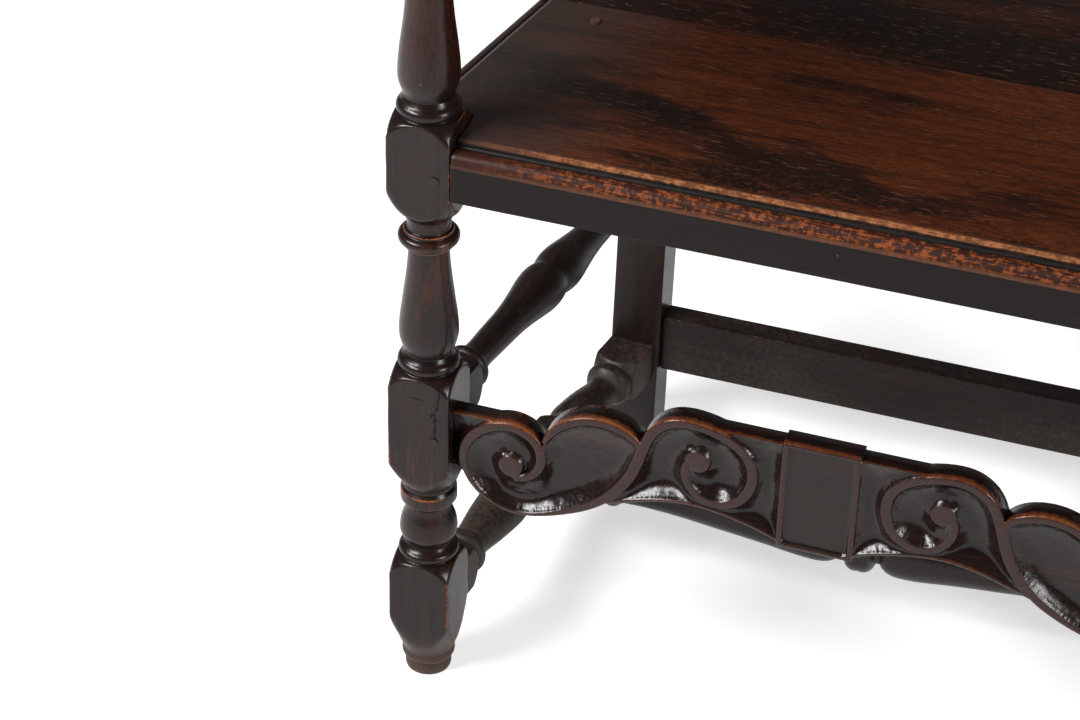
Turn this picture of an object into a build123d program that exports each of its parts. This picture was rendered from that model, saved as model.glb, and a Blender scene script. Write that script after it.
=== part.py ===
from build123d import *
import os
from math import atan, degrees, hypot, sqrt

# A joined armchair with a panelled back: turned front posts and side stretchers, square raked rear
# posts, a seat of two boards with a moulded edge, and a carved scroll board as front stretcher.
# Millimetres. X runs across the chair, Y from front to back and Z up. The posts' places are given
# from the middle of the chair (X) and from the axis of the front posts (Y).

# ---------------------------------------------------------------------------------------------
# Driving sizes
# ---------------------------------------------------------------------------------------------

# Posts
FRONT_SPACING = 576.0        # between the axes of the front posts
REAR_SPACING = 467.0         # between the middles of the rear posts
POST_SETBACK = 346.0         # front post axis to the middle of a rear foot
FRONT_SECTION = 46.0         # side of the square blocks of a front post
REAR_WIDTH = 40.0            # rear post, across the chair
REAR_DEPTH = 34.0            # rear post, front to back
LEG_LEAN = 0.056             # backward slope of a rear post below the seat
BACK_LEAN = 0.16             # backward slope above the seat
UPRIGHT_LENGTH = 556.0       # rear post above the bend, along the slope
FINIAL_RISE = 16.0           # pyramid on top of a rear post
FINIAL_SLOPE = 38.0          # degrees its sides lean in

# Heights that hang on the seat
SEAT_TOP = 468.2
SEAT_BLOCK_DROP = 2.2        # from the seat to the upper corners of a post's seat block
SEAT_BLOCK_HEIGHT = 40.3     # between the corners of the seat block
ARM_CLEARANCE = 183.8        # from the seat to the underside of an arm
BEND_CLEARANCE = 31.8        # from the seat to the bend of a rear post

# Blocks of a front post: heights at which their corners start and end, and how far the rounded
# shoulders run beyond the corners
LOW_BLOCK = (57.5, 94.0)
LOW_SHOULDERS = (27.5, 12.6)
MID_BLOCK = (198.0, 261.0)
MID_SHOULDERS = (18.5, 12.6)
SEAT_SHOULDERS = (19.4, 13.3)
FOOT_RADIUS = 16.6
NECK_RADIUS = 20.4           # where the turning leaves a block
NECK_RUN = 1.2
BLOCK_SWELL = 1.2            # how full the rounding of a shoulder is

# Seat
SEAT_THICKNESS = 14.5
SEAT_JOINT = 195.0           # Y of the joint between the two boards
BOARD_GAP = 0.4              # open joint between the boards
SEAT_LIP = 1.5               # how far the moulding stands out from the rails
MOULDING_DEPTH = 17.0        # width of the moulded edge, seen from above
NOTCH_GAP = 0.6              # between the seat boards and the posts
BATTEN_WIDTH = 66.0          # batten under the joint of the boards
BATTEN_THICKNESS = 16.0
BATTEN_HOUSING = 8.0         # how far its ends enter the side rails

# Rails
RAIL_THICKNESS = 24.0
REAR_RAIL_SETBACK = 8.0      # rear seat rail behind the front face of the rear posts

# Stretchers
STRETCHER_SECTION = 36.0     # square blocks of the side stretchers
UPPER_STRETCHER_RISE = 6.3   # axis above the middle of the post's middle block
LOWER_STRETCHER_DROP = 6.75  # axis below the middle of the post's low block
UPPER_BLOCKS = (26.0, 22.0)  # front and rear end blocks with their shoulders
LOWER_BLOCKS = (22.0, 34.0)
MEDIAL_BLOCK = 34.0          # half length of the block that holds the medial stretcher
SHOULDER_RUN = 9.0           # rounded end of a stretcher's block
SHOULDER_SWELL = 4.0         # its bulge and the neck behind it, from the block's faces
SHOULDER_NECK = 1.5
MEDIAL_SECTION = 34.0        # square ends of the medial stretcher
MEDIAL_STOCK = 50.0          # square its middle is turned from
MEDIAL_END = 29.0            # length of its square ends
REAR_STRETCHER_BOTTOM = 59.0
REAR_STRETCHER_HEIGHT = 51.0
REAR_STRETCHER_THICKNESS = 20.0
REAR_STRETCHER_SETBACK = 9.0

# Carved front stretcher
CARVED_THICKNESS = 17.0
CARVED_SETBACK = 6.0         # its relief behind the front faces of the posts
RELIEF = 5.5                 # depth of the carved grounds
BOSS_RADIUS = 8.6            # eyes of the scrolls
TABLET_HALF_WIDTH = 27.0
TABLET_BORDER = 3.6
TABLET_RISE = (2.0, 3.0)     # beyond the board's lower and upper edges
CARVED_END = (1.0, 49.5)     # plain ends, from the bottom of the posts' middle blocks
CARVED_END_REACH = 60.0      # from the post's axis

# Arms
ARM_WIDTH = 50.0
ARM_THICKNESS = 31.0
ARM_REAR_WIDTH = 34.0
ARM_OVERHANG = 44.0          # middle of the scrolled end in front of the post
ARM_SCROLL_RADIUS = 19.0
ARM_RISE = 26.5              # from its middle at the front post to its middle at the rear post
ARM_DIP = 5.0                # how far the top sinks between the posts
ARM_ROUNDING = 6.0           # radius of the upper edges

# Back frame, heights along the slope above the bend
LOWER_BACK_RAIL = (46.0, 112.0)
TOP_RAIL_HEIGHT = 54.0
TOP_RAIL_DROP = 104.0        # from the post's square top to the top of the rail
CREST_HEIGHT = 92.0
CREST_TENON = 30.0           # height of the crest's tenons
BACK_RAIL_THICKNESS = 24.0
MUNTIN_WIDTH = 58.0
PANEL_THICKNESS = 8.0
PANEL_TONGUE = 8.0           # how far a panel enters its grooves
PANEL_FIELD_RISE = 4.0
PANEL_BEVEL = 26.0           # sloping margin round the raised field
CREST_THICKNESS = 20.0

# Joinery
TENON_THICKNESS = 9.0
TENON_SHOULDER = 4.0         # rail edge above and below its tenon
FRONT_TENON = 22.0           # tenon lengths in the front posts,
SIDE_TENON = 12.0            # of side pieces in the rear posts,
REAR_TENON = 20.0            # of cross pieces in the rear posts
STRETCHER_TENON = 22.0       # height of a stretcher's tenon
MEDIAL_TENON = 12.0
MUNTIN_TENON = 14.0
ARM_PIN_RADIUS = 11.0
ARM_PIN = 22.0
FIT = 0.15                   # clearance round a tenon, tongue or pin
MORTISE_SPARE = 1.0          # empty space at the bottom of a mortise
PEG_RADIUS = 3.5
PEG_FIT = 0.08
PEG_LENGTH = 27.0
PEG_INSET = 11.0             # peg from the shoulder of its joint
PEG_PROUD = 0.6
SEAT_PEG_PROUD = 1.6
SEAT_PEG_X = 227.7           # pegs of the batten, from the middle of the chair
SEAT_PEG_Y = 22.9            # and from the joint of the boards
PEG_HOLD = 12.0              # how far a seat peg runs into the wood below
OVERLAP = 6.0                # how far a tenon is drawn back into its own piece

# ---------------------------------------------------------------------------------------------
# Sizes that follow
# ---------------------------------------------------------------------------------------------

SIDES = {"left": -1, "right": 1}
FRONT_X = FRONT_SPACING / 2
REAR_X = REAR_SPACING / 2
HALF = FRONT_SECTION / 2
SEAT_UNDERSIDE = SEAT_TOP - SEAT_THICKNESS
SEAT_BLOCK = (SEAT_TOP - SEAT_BLOCK_DROP - SEAT_BLOCK_HEIGHT, SEAT_TOP - SEAT_BLOCK_DROP)
RAIL_BOTTOM = SEAT_BLOCK[0]
ARM_UNDERSIDE = SEAT_TOP + ARM_CLEARANCE     # top of the turned part of a front post
BEND_HEIGHT = SEAT_TOP + BEND_CLEARANCE
UPPER_STRETCHER_HEIGHT = sum(MID_BLOCK) / 2 + UPPER_STRETCHER_RISE
LOWER_STRETCHER_HEIGHT = sum(LOW_BLOCK) / 2 - LOWER_STRETCHER_DROP
TOP_RAIL_TOP = UPRIGHT_LENGTH - TOP_RAIL_DROP
TOP_BACK_RAIL = (TOP_RAIL_TOP - TOP_RAIL_HEIGHT, TOP_RAIL_TOP)
BACK_ANGLE = degrees(atan(BACK_LEAN))
BEND_Y = POST_SETBACK + LEG_LEAN * BEND_HEIGHT
CARVED_FRONT = -HALF + CARVED_SETBACK
CARVED_BACK = CARVED_FRONT + CARVED_THICKNESS
INNER_SPAN = REAR_SPACING - REAR_WIDTH       # between the rear posts


def rear_y(height):
    """Middle of a rear post at a height."""
    if height < BEND_HEIGHT:
        return POST_SETBACK + LEG_LEAN * height
    return BEND_Y + BACK_LEAN * (height - BEND_HEIGHT)


BACK = Location((0, BEND_Y, BEND_HEIGHT), (-BACK_ANGLE, 0, 0))   # frame of the raked back


# ---------------------------------------------------------------------------------------------
# Small helpers
# ---------------------------------------------------------------------------------------------

def block(x, y, z):
    """Box between two limits along each axis."""
    size = [high - low for low, high in (x, y, z)]
    middle = [(high + low) / 2 for low, high in (x, y, z)]
    return Pos(*middle) * Box(*size)


def grown(limits, by):
    return limits[0] - by, limits[1] + by


def mirrored(piece):
    return mirror(piece, Plane.YZ)


class Turning:
    """Outline of a turned piece as radius and place along its axis, drawn from one end.

    Radii are shares of half the square that the piece is turned from.
    """

    def __init__(self, half, radius, place):
        self.half, self.limits = half, (0, 1)
        self.start = self.tip = self.point(radius, place)
        self.edges = []

    def within(self, start, end):
        """From now on places are shares of the way between two places; 0 and 1 leave them plain."""
        self.limits = (start, end)
        return self

    def point(self, radius, share):
        start, end = self.limits
        return radius * self.half, start + share * (end - start)

    def to(self, radius, share):
        tip = self.point(radius, share)
        self.edges.append(Line(self.tip, tip))
        self.tip = tip
        return self

    def bead(self, bulge, radius, share):
        tip = self.point(radius, share)
        middle = (bulge * self.half, (self.tip[1] + tip[1]) / 2)
        self.edges.append(ThreePointArc(self.tip, middle, tip))
        self.tip = tip
        return self

    def curve(self, *points):
        points = [self.point(*place) for place in points]
        self.edges.append(Spline(self.tip, *points))
        self.tip = points[-1]
        return self

    def solid(self):
        foot, head = (0, self.start[1]), (0, self.tip[1])
        rest = [Line(self.tip, head), Line(head, foot), Line(foot, self.start)]
        outline = make_face(self.edges + rest)
        return revolve(Plane.XZ * outline, Axis.Z)


# ---------------------------------------------------------------------------------------------
# Front posts
# ---------------------------------------------------------------------------------------------

# Radius that just clears the corners of a square block, so its faces are planed flat
BLOCK_CORNER = 1.004 * sqrt(2)


def block_reach(corners, shoulders):
    """Heights between which a block and its shoulders run."""
    return corners[0] - shoulders[0], corners[1] + shoulders[1] + NECK_RUN


def block_outline(outline, corners, shoulders):
    """Adds a block to a turning: a rounded shoulder, the full section and a second shoulder.

    The full radius just clears the block's corners, so the square planing leaves an arch on each
    face, with its crown where the turning is as wide as the block's half section.
    """
    low, high = corners
    below, above = shoulders
    crown = (1 + BLOCK_CORNER) / 2 + BLOCK_SWELL / HALF
    outline.within(0, 1).curve((1, low - below), (crown, low - 0.45 * below), (BLOCK_CORNER, low))
    outline.to(BLOCK_CORNER, high)
    outline.curve((crown, high + 0.5 * above), (1, high + above),
                  (NECK_RADIUS / HALF, high + above + NECK_RUN))


def front_post_turning():
    low = block_reach(LOW_BLOCK, LOW_SHOULDERS)
    middle = block_reach(MID_BLOCK, MID_SHOULDERS)
    seat = block_reach(SEAT_BLOCK, SEAT_SHOULDERS)
    # turned foot under the low block
    post = Turning(HALF, FOOT_RADIUS / HALF, 0).within(0, low[0])
    post.curve((0.757, 0.1), (0.73, 0.233), (0.67, 0.35)).to(0.8, 0.383).bead(0.865, 0.817, 0.617)
    block_outline(post, LOW_BLOCK, LOW_SHOULDERS)
    # short ball between the low and the middle block
    post.within(low[1], middle[0]).bead(0.97, 0.843, 0.107).to(0.735, 0.149)
    post.curve((0.791, 0.198), (0.904, 0.268), (0.922, 0.338), (0.852, 0.463), (0.722, 0.575),
               (0.696, 0.623))
    post.to(0.843, 0.679).to(0.9, 0.7).to(0.9, 0.826).to(0.809, 0.861).to(0.809, 0.895)
    block_outline(post, MID_BLOCK, MID_SHOULDERS)
    # baluster between the middle block and the seat block
    post.within(middle[1], seat[0]).bead(0.97, 0.843, 0.066).to(0.735, 0.093)
    post.curve((0.809, 0.127), (0.904, 0.184), (0.922, 0.245), (0.865, 0.351), (0.748, 0.511),
               (0.652, 0.663), (0.622, 0.754))
    post.to(0.765, 0.762).to(0.765, 0.781).bead(0.943, 0.765, 0.849).to(0.765, 0.865)
    post.to(0.67, 0.872)
    post.curve((0.678, 0.906), (0.765, 0.956), (0.809, 0.967))
    block_outline(post, SEAT_BLOCK, SEAT_SHOULDERS)
    # baluster that carries the arm
    post.within(seat[1], ARM_UNDERSIDE).bead(0.974, 0.843, 0.055).to(0.743, 0.079)
    post.curve((0.817, 0.105), (0.913, 0.146), (0.926, 0.19), (0.87, 0.283), (0.748, 0.411),
               (0.657, 0.563), (0.626, 0.638))
    post.to(0.757, 0.644).to(0.757, 0.656).bead(0.922, 0.757, 0.706).to(0.757, 0.717)
    post.to(0.643, 0.723)
    post.curve((0.635, 0.755), (0.765, 0.848), (0.896, 0.918), (0.878, 0.959)).to(0.935, 0.965)
    post.to(0.935, 1).to(ARM_PIN_RADIUS / HALF, 1)
    post.within(ARM_UNDERSIDE, ARM_UNDERSIDE + ARM_PIN).to(ARM_PIN_RADIUS / HALF, 1)
    return post.solid()


def front_post(side):
    planed = block((-HALF, HALF), (-HALF, HALF), (-1, ARM_UNDERSIDE + ARM_PIN + 1))
    post = Pos(side * FRONT_X, 0, 0) * (front_post_turning() & planed)
    post -= rail_tenons("front", side, FIT)
    post -= side_tenons(side, FIT)
    return drilled(post)


def front_post_blank(side):
    """Square section of a front post, for the shoulders that meet it."""
    return Pos(side * FRONT_X, 0, 0) * block((-HALF, HALF), (-HALF, HALF), (0, ARM_UNDERSIDE))


# ---------------------------------------------------------------------------------------------
# Rear posts
# ---------------------------------------------------------------------------------------------

def rear_post_blank(side):
    """Raked post, square in section, with a low pyramid on top."""
    half = REAR_DEPTH / 2
    foot, bend = (POST_SETBACK, 0), (BEND_Y, BEND_HEIGHT)
    corners = [(foot[0] - half, 0), (foot[0] + half, 0), (bend[0] + half, bend[1]),
               (bend[0] - half, bend[1])]
    lower = extrude(Plane.YZ * make_face(Polyline(*corners, close=True)), REAR_WIDTH / 2, both=True)
    upper = BACK * block((-REAR_WIDTH / 2, REAR_WIDTH / 2), (-half, half),
                         (-OVERLAP, UPRIGHT_LENGTH))
    top = Plane.XY.offset(UPRIGHT_LENGTH) * Rectangle(REAR_WIDTH, REAR_DEPTH)
    finial = BACK * extrude(top, FINIAL_RISE, taper=FINIAL_SLOPE)
    return Pos(side * REAR_X, 0, 0) * (lower + upper + finial)


def rear_post(side):
    post = rear_post_blank(side)
    post -= rail_tenons("rear", side, FIT)
    post -= side_tenons(side, FIT)
    post -= arm_tenon(side, FIT)
    post -= BACK * panel_groove(side)
    return drilled(post)


# ---------------------------------------------------------------------------------------------
# Cross pieces: each is a body between two posts, with a tenon at each end
# ---------------------------------------------------------------------------------------------

def cross_tenon(name, side, clearance=0.0):
    """Tenon of a cross piece in the post on one side; grown by a clearance, it is the mortise."""
    piece = CROSS_PIECES[name]
    reach = piece["length"] + (MORTISE_SPARE if clearance else 0)
    inner = piece["shoulder"]
    x = (inner - (0 if clearance else OVERLAP), inner + reach)
    if side < 0:
        x = (-x[1], -x[0])
    tenon = block(x, grown(piece["tenon_y"], clearance), grown(piece["tenon_z"], clearance))
    return piece["frame"] * tenon


def cross_body(name):
    piece = CROSS_PIECES[name]
    inner = piece["shoulder"]
    return piece["frame"] * block((-inner, inner), piece["y"], piece["z"])


def cross_piece(name):
    return cross_body(name) + cross_tenon(name, -1) + cross_tenon(name, 1)


def rail_tenons(post, side, clearance):
    """All cross tenons in one post, as one cutter."""
    return Part() + [cross_tenon(name, side, clearance)
                     for name, piece in CROSS_PIECES.items() if piece["post"] == post]


def cross_layout(frame, post, y, z, length, tenon_z=None):
    half_width = HALF if post == "front" else REAR_WIDTH / 2
    axis = FRONT_X if post == "front" else REAR_X
    middle = (y[0] + y[1]) / 2
    tenon_y = (middle - TENON_THICKNESS / 2, middle + TENON_THICKNESS / 2)
    tenon_z = tenon_z or (z[0] + TENON_SHOULDER, z[1] - TENON_SHOULDER)
    return {"frame": frame, "post": post, "shoulder": axis - half_width, "y": y, "z": z,
            "tenon_y": tenon_y, "tenon_z": tenon_z, "length": length}


def raked_frame(height):
    """Frame whose Y is measured from the middle of the rear posts at a height."""
    return Pos(0, rear_y(height), 0)


def behind(setback, thickness):
    """Y limits of a cross piece that sits behind the rear posts' front face."""
    front = -REAR_DEPTH / 2 + setback
    return front, front + thickness


SEAT_RAIL_Z = (RAIL_BOTTOM, SEAT_UNDERSIDE)
REAR_STRETCHER_Z = (REAR_STRETCHER_BOTTOM, REAR_STRETCHER_BOTTOM + REAR_STRETCHER_HEIGHT)
BACK_RAIL_Y = (-BACK_RAIL_THICKNESS / 2, BACK_RAIL_THICKNESS / 2)
CREST_Y = (-CREST_THICKNESS / 2, CREST_THICKNESS / 2)
CREST_Z = (TOP_BACK_RAIL[1], TOP_BACK_RAIL[1] + CREST_HEIGHT)
CREST_TENON_Z = (CREST_Z[0] + TENON_SHOULDER, CREST_Z[0] + TENON_SHOULDER + CREST_TENON)
CARVED_END_Z = (MID_BLOCK[0] + CARVED_END[0], MID_BLOCK[0] + CARVED_END[1])

CROSS_PIECES = {
    "front_seat_rail": cross_layout(Location(), "front", (-HALF, -HALF + RAIL_THICKNESS),
                                    SEAT_RAIL_Z, FRONT_TENON),
    "carved_front_stretcher": cross_layout(Location(), "front",
                                           (CARVED_FRONT + RELIEF, CARVED_BACK), CARVED_END_Z,
                                           FRONT_TENON),
    "rear_seat_rail": cross_layout(raked_frame(RAIL_BOTTOM), "rear",
                                   behind(REAR_RAIL_SETBACK, RAIL_THICKNESS), SEAT_RAIL_Z,
                                   REAR_TENON),
    "rear_stretcher": cross_layout(raked_frame(REAR_STRETCHER_BOTTOM), "rear",
                                   behind(REAR_STRETCHER_SETBACK, REAR_STRETCHER_THICKNESS),
                                   REAR_STRETCHER_Z, REAR_TENON),
    "back_lower_rail": cross_layout(BACK, "rear", BACK_RAIL_Y, LOWER_BACK_RAIL, REAR_TENON),
    "back_top_rail": cross_layout(BACK, "rear", BACK_RAIL_Y, TOP_BACK_RAIL, REAR_TENON),
    "back_crest": cross_layout(BACK, "rear", CREST_Y, CREST_Z, REAR_TENON, CREST_TENON_Z),
}


# ---------------------------------------------------------------------------------------------
# Side pieces: they run from a front post's axis to the middle of a rear post
# ---------------------------------------------------------------------------------------------

def side_frame(side, height):
    """Frame at the front post's axis: local Z runs back to the rear post and local X is up."""
    run = (side * (REAR_X - FRONT_X), rear_y(height), 0)
    return Plane(origin=(side * FRONT_X, 0, height), x_dir=(0, 0, 1), z_dir=run)


def side_length(height):
    """From the front post's axis to the middle of the rear post."""
    return hypot(REAR_X - FRONT_X, rear_y(height))


SIDE_HEIGHTS = {
    "side_seat_rail": (RAIL_BOTTOM + SEAT_UNDERSIDE) / 2,
    "upper_side_stretcher": UPPER_STRETCHER_HEIGHT,
    "lower_side_stretcher": LOWER_STRETCHER_HEIGHT,
}


def side_tenon(name, side, end, clearance=0.0):
    height = SIDE_HEIGHTS[name]
    tall = STRETCHER_TENON
    if name == "side_seat_rail":
        tall = SEAT_UNDERSIDE - RAIL_BOTTOM - 2 * TENON_SHOULDER
    spare = MORTISE_SPARE if clearance else 0
    if end == "front":
        reach = (HALF - FRONT_TENON - spare, HALF + OVERLAP)
    else:
        face = side_length(height) - REAR_DEPTH / 2
        reach = (face - OVERLAP, face + SIDE_TENON + spare)
    up = grown((-tall / 2, tall / 2), clearance)
    across = grown((-TENON_THICKNESS / 2, TENON_THICKNESS / 2), clearance)
    return side_frame(side, height) * block(up, across, reach)


def side_tenons(side, clearance):
    """All tenons of one side's pieces, as one cutter for both posts of that side."""
    return Part() + [side_tenon(name, side, end, clearance)
                     for name in SIDE_HEIGHTS for end in ("front", "rear")]


def between_posts(body, name, side):
    """Cuts a side piece's shoulders to the posts and adds its tenons."""
    body = body - front_post_blank(side) - rear_post_blank(side)
    return body + side_tenon(name, side, "front") + side_tenon(name, side, "rear")


def outer_line(side, offset=0.0):
    """Line along the outer faces of the posts of one side, moved outwards by an offset."""
    front = Vector(side * (FRONT_X + HALF), HALF)
    rear = Vector(side * (REAR_X + REAR_WIDTH / 2), rear_y(RAIL_BOTTOM) - REAR_DEPTH / 2)
    along = (rear - front).normalized()
    out = Vector(along.Y, -along.X) * side
    return front + out * offset, along, out


def side_strip(side, outside, inside, y_limits):
    """Plan corners of a strip along one side, between two offsets from the outer line."""
    corners = []
    for offset, y in ((outside, y_limits[0]), (outside, y_limits[1]),
                      (inside, y_limits[1]), (inside, y_limits[0])):
        start, along, _ = outer_line(side, offset)
        corners.append(start + along * ((y - start.Y) / along.Y))
    return corners


def side_seat_rail(side):
    plan = side_strip(side, 0, -RAIL_THICKNESS, (HALF, rear_y(RAIL_BOTTOM)))
    face = make_face(Polyline(*plan, close=True))
    body = extrude(Pos(0, 0, RAIL_BOTTOM) * face, SEAT_UNDERSIDE - RAIL_BOTTOM, dir=(0, 0, 1))
    return drilled(between_posts(body, "side_seat_rail", side) - seat_batten_blank(FIT))


# Turned stretchers, drawn along their length from the front post's axis

def squared(turning, section, length):
    half = section / 2
    return turning.solid() & block((-half, half), (-half, half), (-1, length + 1))


def end_block(length, blocks):
    """Lengths at which the front block ends and the rear block starts."""
    front = HALF + blocks[0]
    rear = length - REAR_DEPTH / 2 - blocks[1]
    return front, rear


def leave_block(outline, place):
    """A block's corners and its rounded end, down to the neck at a place."""
    outline.within(0, 1).to(BLOCK_CORNER, place - SHOULDER_RUN)
    outline.curve((1 + SHOULDER_SWELL / outline.half, place - 0.4 * SHOULDER_RUN),
                  (1 - SHOULDER_NECK / outline.half, place))


def meet_block(outline, place):
    """Rounded start of a block, up to its corners from the neck at a place."""
    outline.within(0, 1).to(1 - SHOULDER_NECK / outline.half, place)
    outline.curve((1 + SHOULDER_SWELL / outline.half, place + 0.4 * SHOULDER_RUN),
                  (BLOCK_CORNER, place + SHOULDER_RUN))


def upper_stretcher_turning(length):
    """Two vases, foot to foot, between two beads."""
    front, rear = end_block(length, UPPER_BLOCKS)
    half, middle = STRETCHER_SECTION / 2, (front + rear) / 2
    neck, foot = (0.689, 0.091), (0.906, 0.985)
    vase = [(0.633, 0.16), (0.65, 0.305), (0.744, 0.593), (0.922, 0.768), (1.017, 0.876),
            (0.967, 0.956)]
    outline = Turning(half, BLOCK_CORNER, 0)
    leave_block(outline, front)
    outline.within(front, middle).to(0.861, 0.007).to(0.844, 0.0145).bead(0.989, 0.844, 0.08)
    outline.to(*neck).curve(*vase, foot)
    outline.within(rear, middle).to(*foot).curve(*vase[::-1], neck)
    outline.to(0.844, 0.08).bead(0.989, 0.844, 0.0145).to(0.861, 0.007)
    meet_block(outline, rear)
    return outline.to(BLOCK_CORNER, length)


def lower_stretcher_turning(length):
    """A vase on each side of the block that takes the medial stretcher."""
    front, rear = end_block(length, LOWER_BLOCKS)
    half, middle = STRETCHER_SECTION / 2, (front + rear) / 2
    block_start = middle - MEDIAL_BLOCK - SHOULDER_RUN
    block_end = middle + MEDIAL_BLOCK + SHOULDER_RUN
    outline = Turning(half, BLOCK_CORNER, 0)
    leave_block(outline, front)
    outline.within(front, block_start).to(0.861, 0.012).bead(1.067, 0.867, 0.151).to(0.772, 0.186)
    outline.curve((0.8, 0.279), (0.911, 0.442), (1.067, 0.733), (1.089, 0.872), (1.011, 0.965))
    outline.to(0.922, 0.977)
    meet_block(outline, block_start)
    leave_block(outline, block_end)
    outline.within(block_end, rear).to(0.922, 0.023).to(0.922, 0.058).to(1.011, 0.07)
    outline.curve((1.089, 0.163), (1.056, 0.291), (0.889, 0.558), (0.744, 0.721), (0.717, 0.814))
    outline.to(0.867, 0.849).bead(1.067, 0.861, 0.988)
    meet_block(outline, rear)
    return outline.to(BLOCK_CORNER, length)


def side_stretcher(name, side):
    height = SIDE_HEIGHTS[name]
    length = side_length(height)
    turning = upper_stretcher_turning if name == "upper_side_stretcher" else lower_stretcher_turning
    body = side_frame(side, height) * squared(turning(length), STRETCHER_SECTION, length)
    piece = between_posts(body, name, side)
    if name == "lower_side_stretcher":
        piece -= medial_tenon(side, FIT)
    return drilled(piece)


# ---------------------------------------------------------------------------------------------
# Medial stretcher, between the middle blocks of the lower side stretchers
# ---------------------------------------------------------------------------------------------

def medial_joint(side):
    """Middle of the block that takes the medial stretcher."""
    front, rear = end_block(side_length(LOWER_STRETCHER_HEIGHT), LOWER_BLOCKS)
    return side_frame(side, LOWER_STRETCHER_HEIGHT).from_local_coords((0, 0, (front + rear) / 2))


def medial_tenon(side, clearance=0.0):
    joint = medial_joint(side)
    face = abs(joint.X) - STRETCHER_SECTION / 2
    reach = face + MEDIAL_TENON + (MORTISE_SPARE if clearance else 0)
    x = (face - OVERLAP, reach) if side > 0 else (-reach, OVERLAP - face)
    half, tall = TENON_THICKNESS / 2, STRETCHER_TENON / 2
    y = grown((joint.Y - half, joint.Y + half), clearance)
    z = grown((joint.Z - tall, joint.Z + tall), clearance)
    return block(x, y, z)


def medial_stretcher():
    """Two long vases, foot to foot on a ball in the middle."""
    joint = medial_joint(1)
    half, ball = MEDIAL_SECTION / 2, MEDIAL_STOCK / 2
    reach = joint.X - STRETCHER_SECTION / 2 + OVERLAP
    neck = MEDIAL_END + OVERLAP + SHOULDER_RUN
    outline = Turning(half, BLOCK_CORNER, 0)
    leave_block(outline, neck)
    outline.within(neck, reach).to(0.918, 0.005).bead(1.141, 0.976, 0.068).to(0.894, 0.083)
    outline.curve((0.876, 0.171), (0.941, 0.297), (1.118, 0.473), (1.353, 0.687), (1.494, 0.824),
                  (1.376, 0.892), (1.176, 0.916))
    outline.to(1.059, 0.921).to(1.059, 0.94).to(1.2, 0.945).bead(1.553, 1.553, 1)
    planed = (block((-half, half), (-half, half), (-1, neck))
              + block((-ball, ball), (-ball, ball), (neck, reach)))
    left_half = Plane(origin=(-reach, joint.Y, joint.Z), x_dir=(0, 1, 0), z_dir=(1, 0, 0))
    body = left_half * (outline.solid() & planed)
    body = body + mirrored(body)
    for side in SIDES.values():
        body -= stretcher_blank(side)
        body += medial_tenon(side)
    return body


def stretcher_blank(side):
    """Full square of a lower side stretcher, for the medial stretcher's shoulders."""
    square = (-STRETCHER_SECTION / 2, STRETCHER_SECTION / 2)
    along = (0, side_length(LOWER_STRETCHER_HEIGHT))
    return side_frame(side, LOWER_STRETCHER_HEIGHT) * block(square, square, along)


# ---------------------------------------------------------------------------------------------
# Carved front stretcher: a board with raised scrolls, drawn from the left post's axis and from the
# bottom of its middle block, as X, height and width of the raised band
# ---------------------------------------------------------------------------------------------

SMALL_EYE = (67.0, 14.0)
LARGE_EYE = (202.0, 53.5)
# The long scroll, part by part: from the small volute, round the belly that is the board's lower
# outline, up in an S past the leaf, over the shoulder and round the large volute to its eye
SCROLL_INSIDE = [(70.0, 5.0, 5.0), (80.6, 8.2, 5.2), (87.0, 15.5, 5.8)]
SCROLL_BELLY = [(89.3, 27.5, 6.4), (84.3, 40.0, 6.6), (75.0, 46.3, 6.6), (66.5, 48.2, 6.6),
                (51.8, 44.6, 6.6), (38.8, 34.2, 6.4), (31.8, 19.0, 5.6), (33.6, 1.6, 4.4),
                (42.5, -12.8, 3.6), (56.4, -22.4, 3.2), (73.0, -25.8, 3.2), (93.4, -21.7, 3.8),
                (113.5, -12.8, 5.6)]
SCROLL_RISE = [(130.5, -1.8, 7.0), (146.0, 14.5, 7.4), (156.2, 32.7, 7.4), (162.6, 54.3, 7.2)]
SCROLL_SHOULDER = [(170.4, 71.6, 7.0), (183.0, 81.4, 6.6), (202.5, 83.0, 6.2), (221.5, 77.6, 6.2)]
SCROLL_VOLUTE = [(236.4, 66.0, 6.4), (241.2, 50.0, 6.6), (236.6, 32.6, 6.4), (223.0, 21.6, 6.0),
                 (207.6, 22.2, 5.6), (196.4, 32.4, 5.2), (193.4, 45.5, 4.8), (197.5, 53.5, 4.4)]
SCROLL = SCROLL_INSIDE + SCROLL_BELLY + SCROLL_RISE + SCROLL_SHOULDER + SCROLL_VOLUTE
LEAF_RIM = [(90.6, 40.0, 3.0), (97.0, 51.8, 5.0), (107.0, 61.2, 6.0), (122.0, 67.6, 6.2),
            (138.0, 68.0, 6.2), (151.5, 63.6, 5.4), (161.5, 54.0, 3.6)]
LOWER_RIM = [(133.0, -0.5, 3.0), (156.0, 7.2, 3.0), (182.0, 14.4, 2.8), (206.0, 15.8, 2.8),
             (232.0, 11.6, 2.8), (252.0, 5.8, 2.8), (268.0, -1.4, 2.8)]
TOP_EDGE = 83.0              # straight top between the large volute and the tablet


def band(points):
    """Face of a band of changing width along a middle line, with its two ends closed."""
    line = Spline(*[(x, z) for x, z, _ in points])
    left, right = [], []
    for x, z, width in points:
        at = line.param_at_point((x, z))
        along = line.tangent_at(at)
        across = Vector(-along.Y, along.X) * (width / 2)
        left.append(Vector(x, z) + across)
        right.append(Vector(x, z) - across)
    sides = [Spline(*left), Spline(*right)]
    ends = [Line(left[0], right[0]), Line(left[-1], right[-1])]
    return make_face(sides + ends)


def middle_line(points):
    return [(x, z) for x, z, _ in points]


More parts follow.
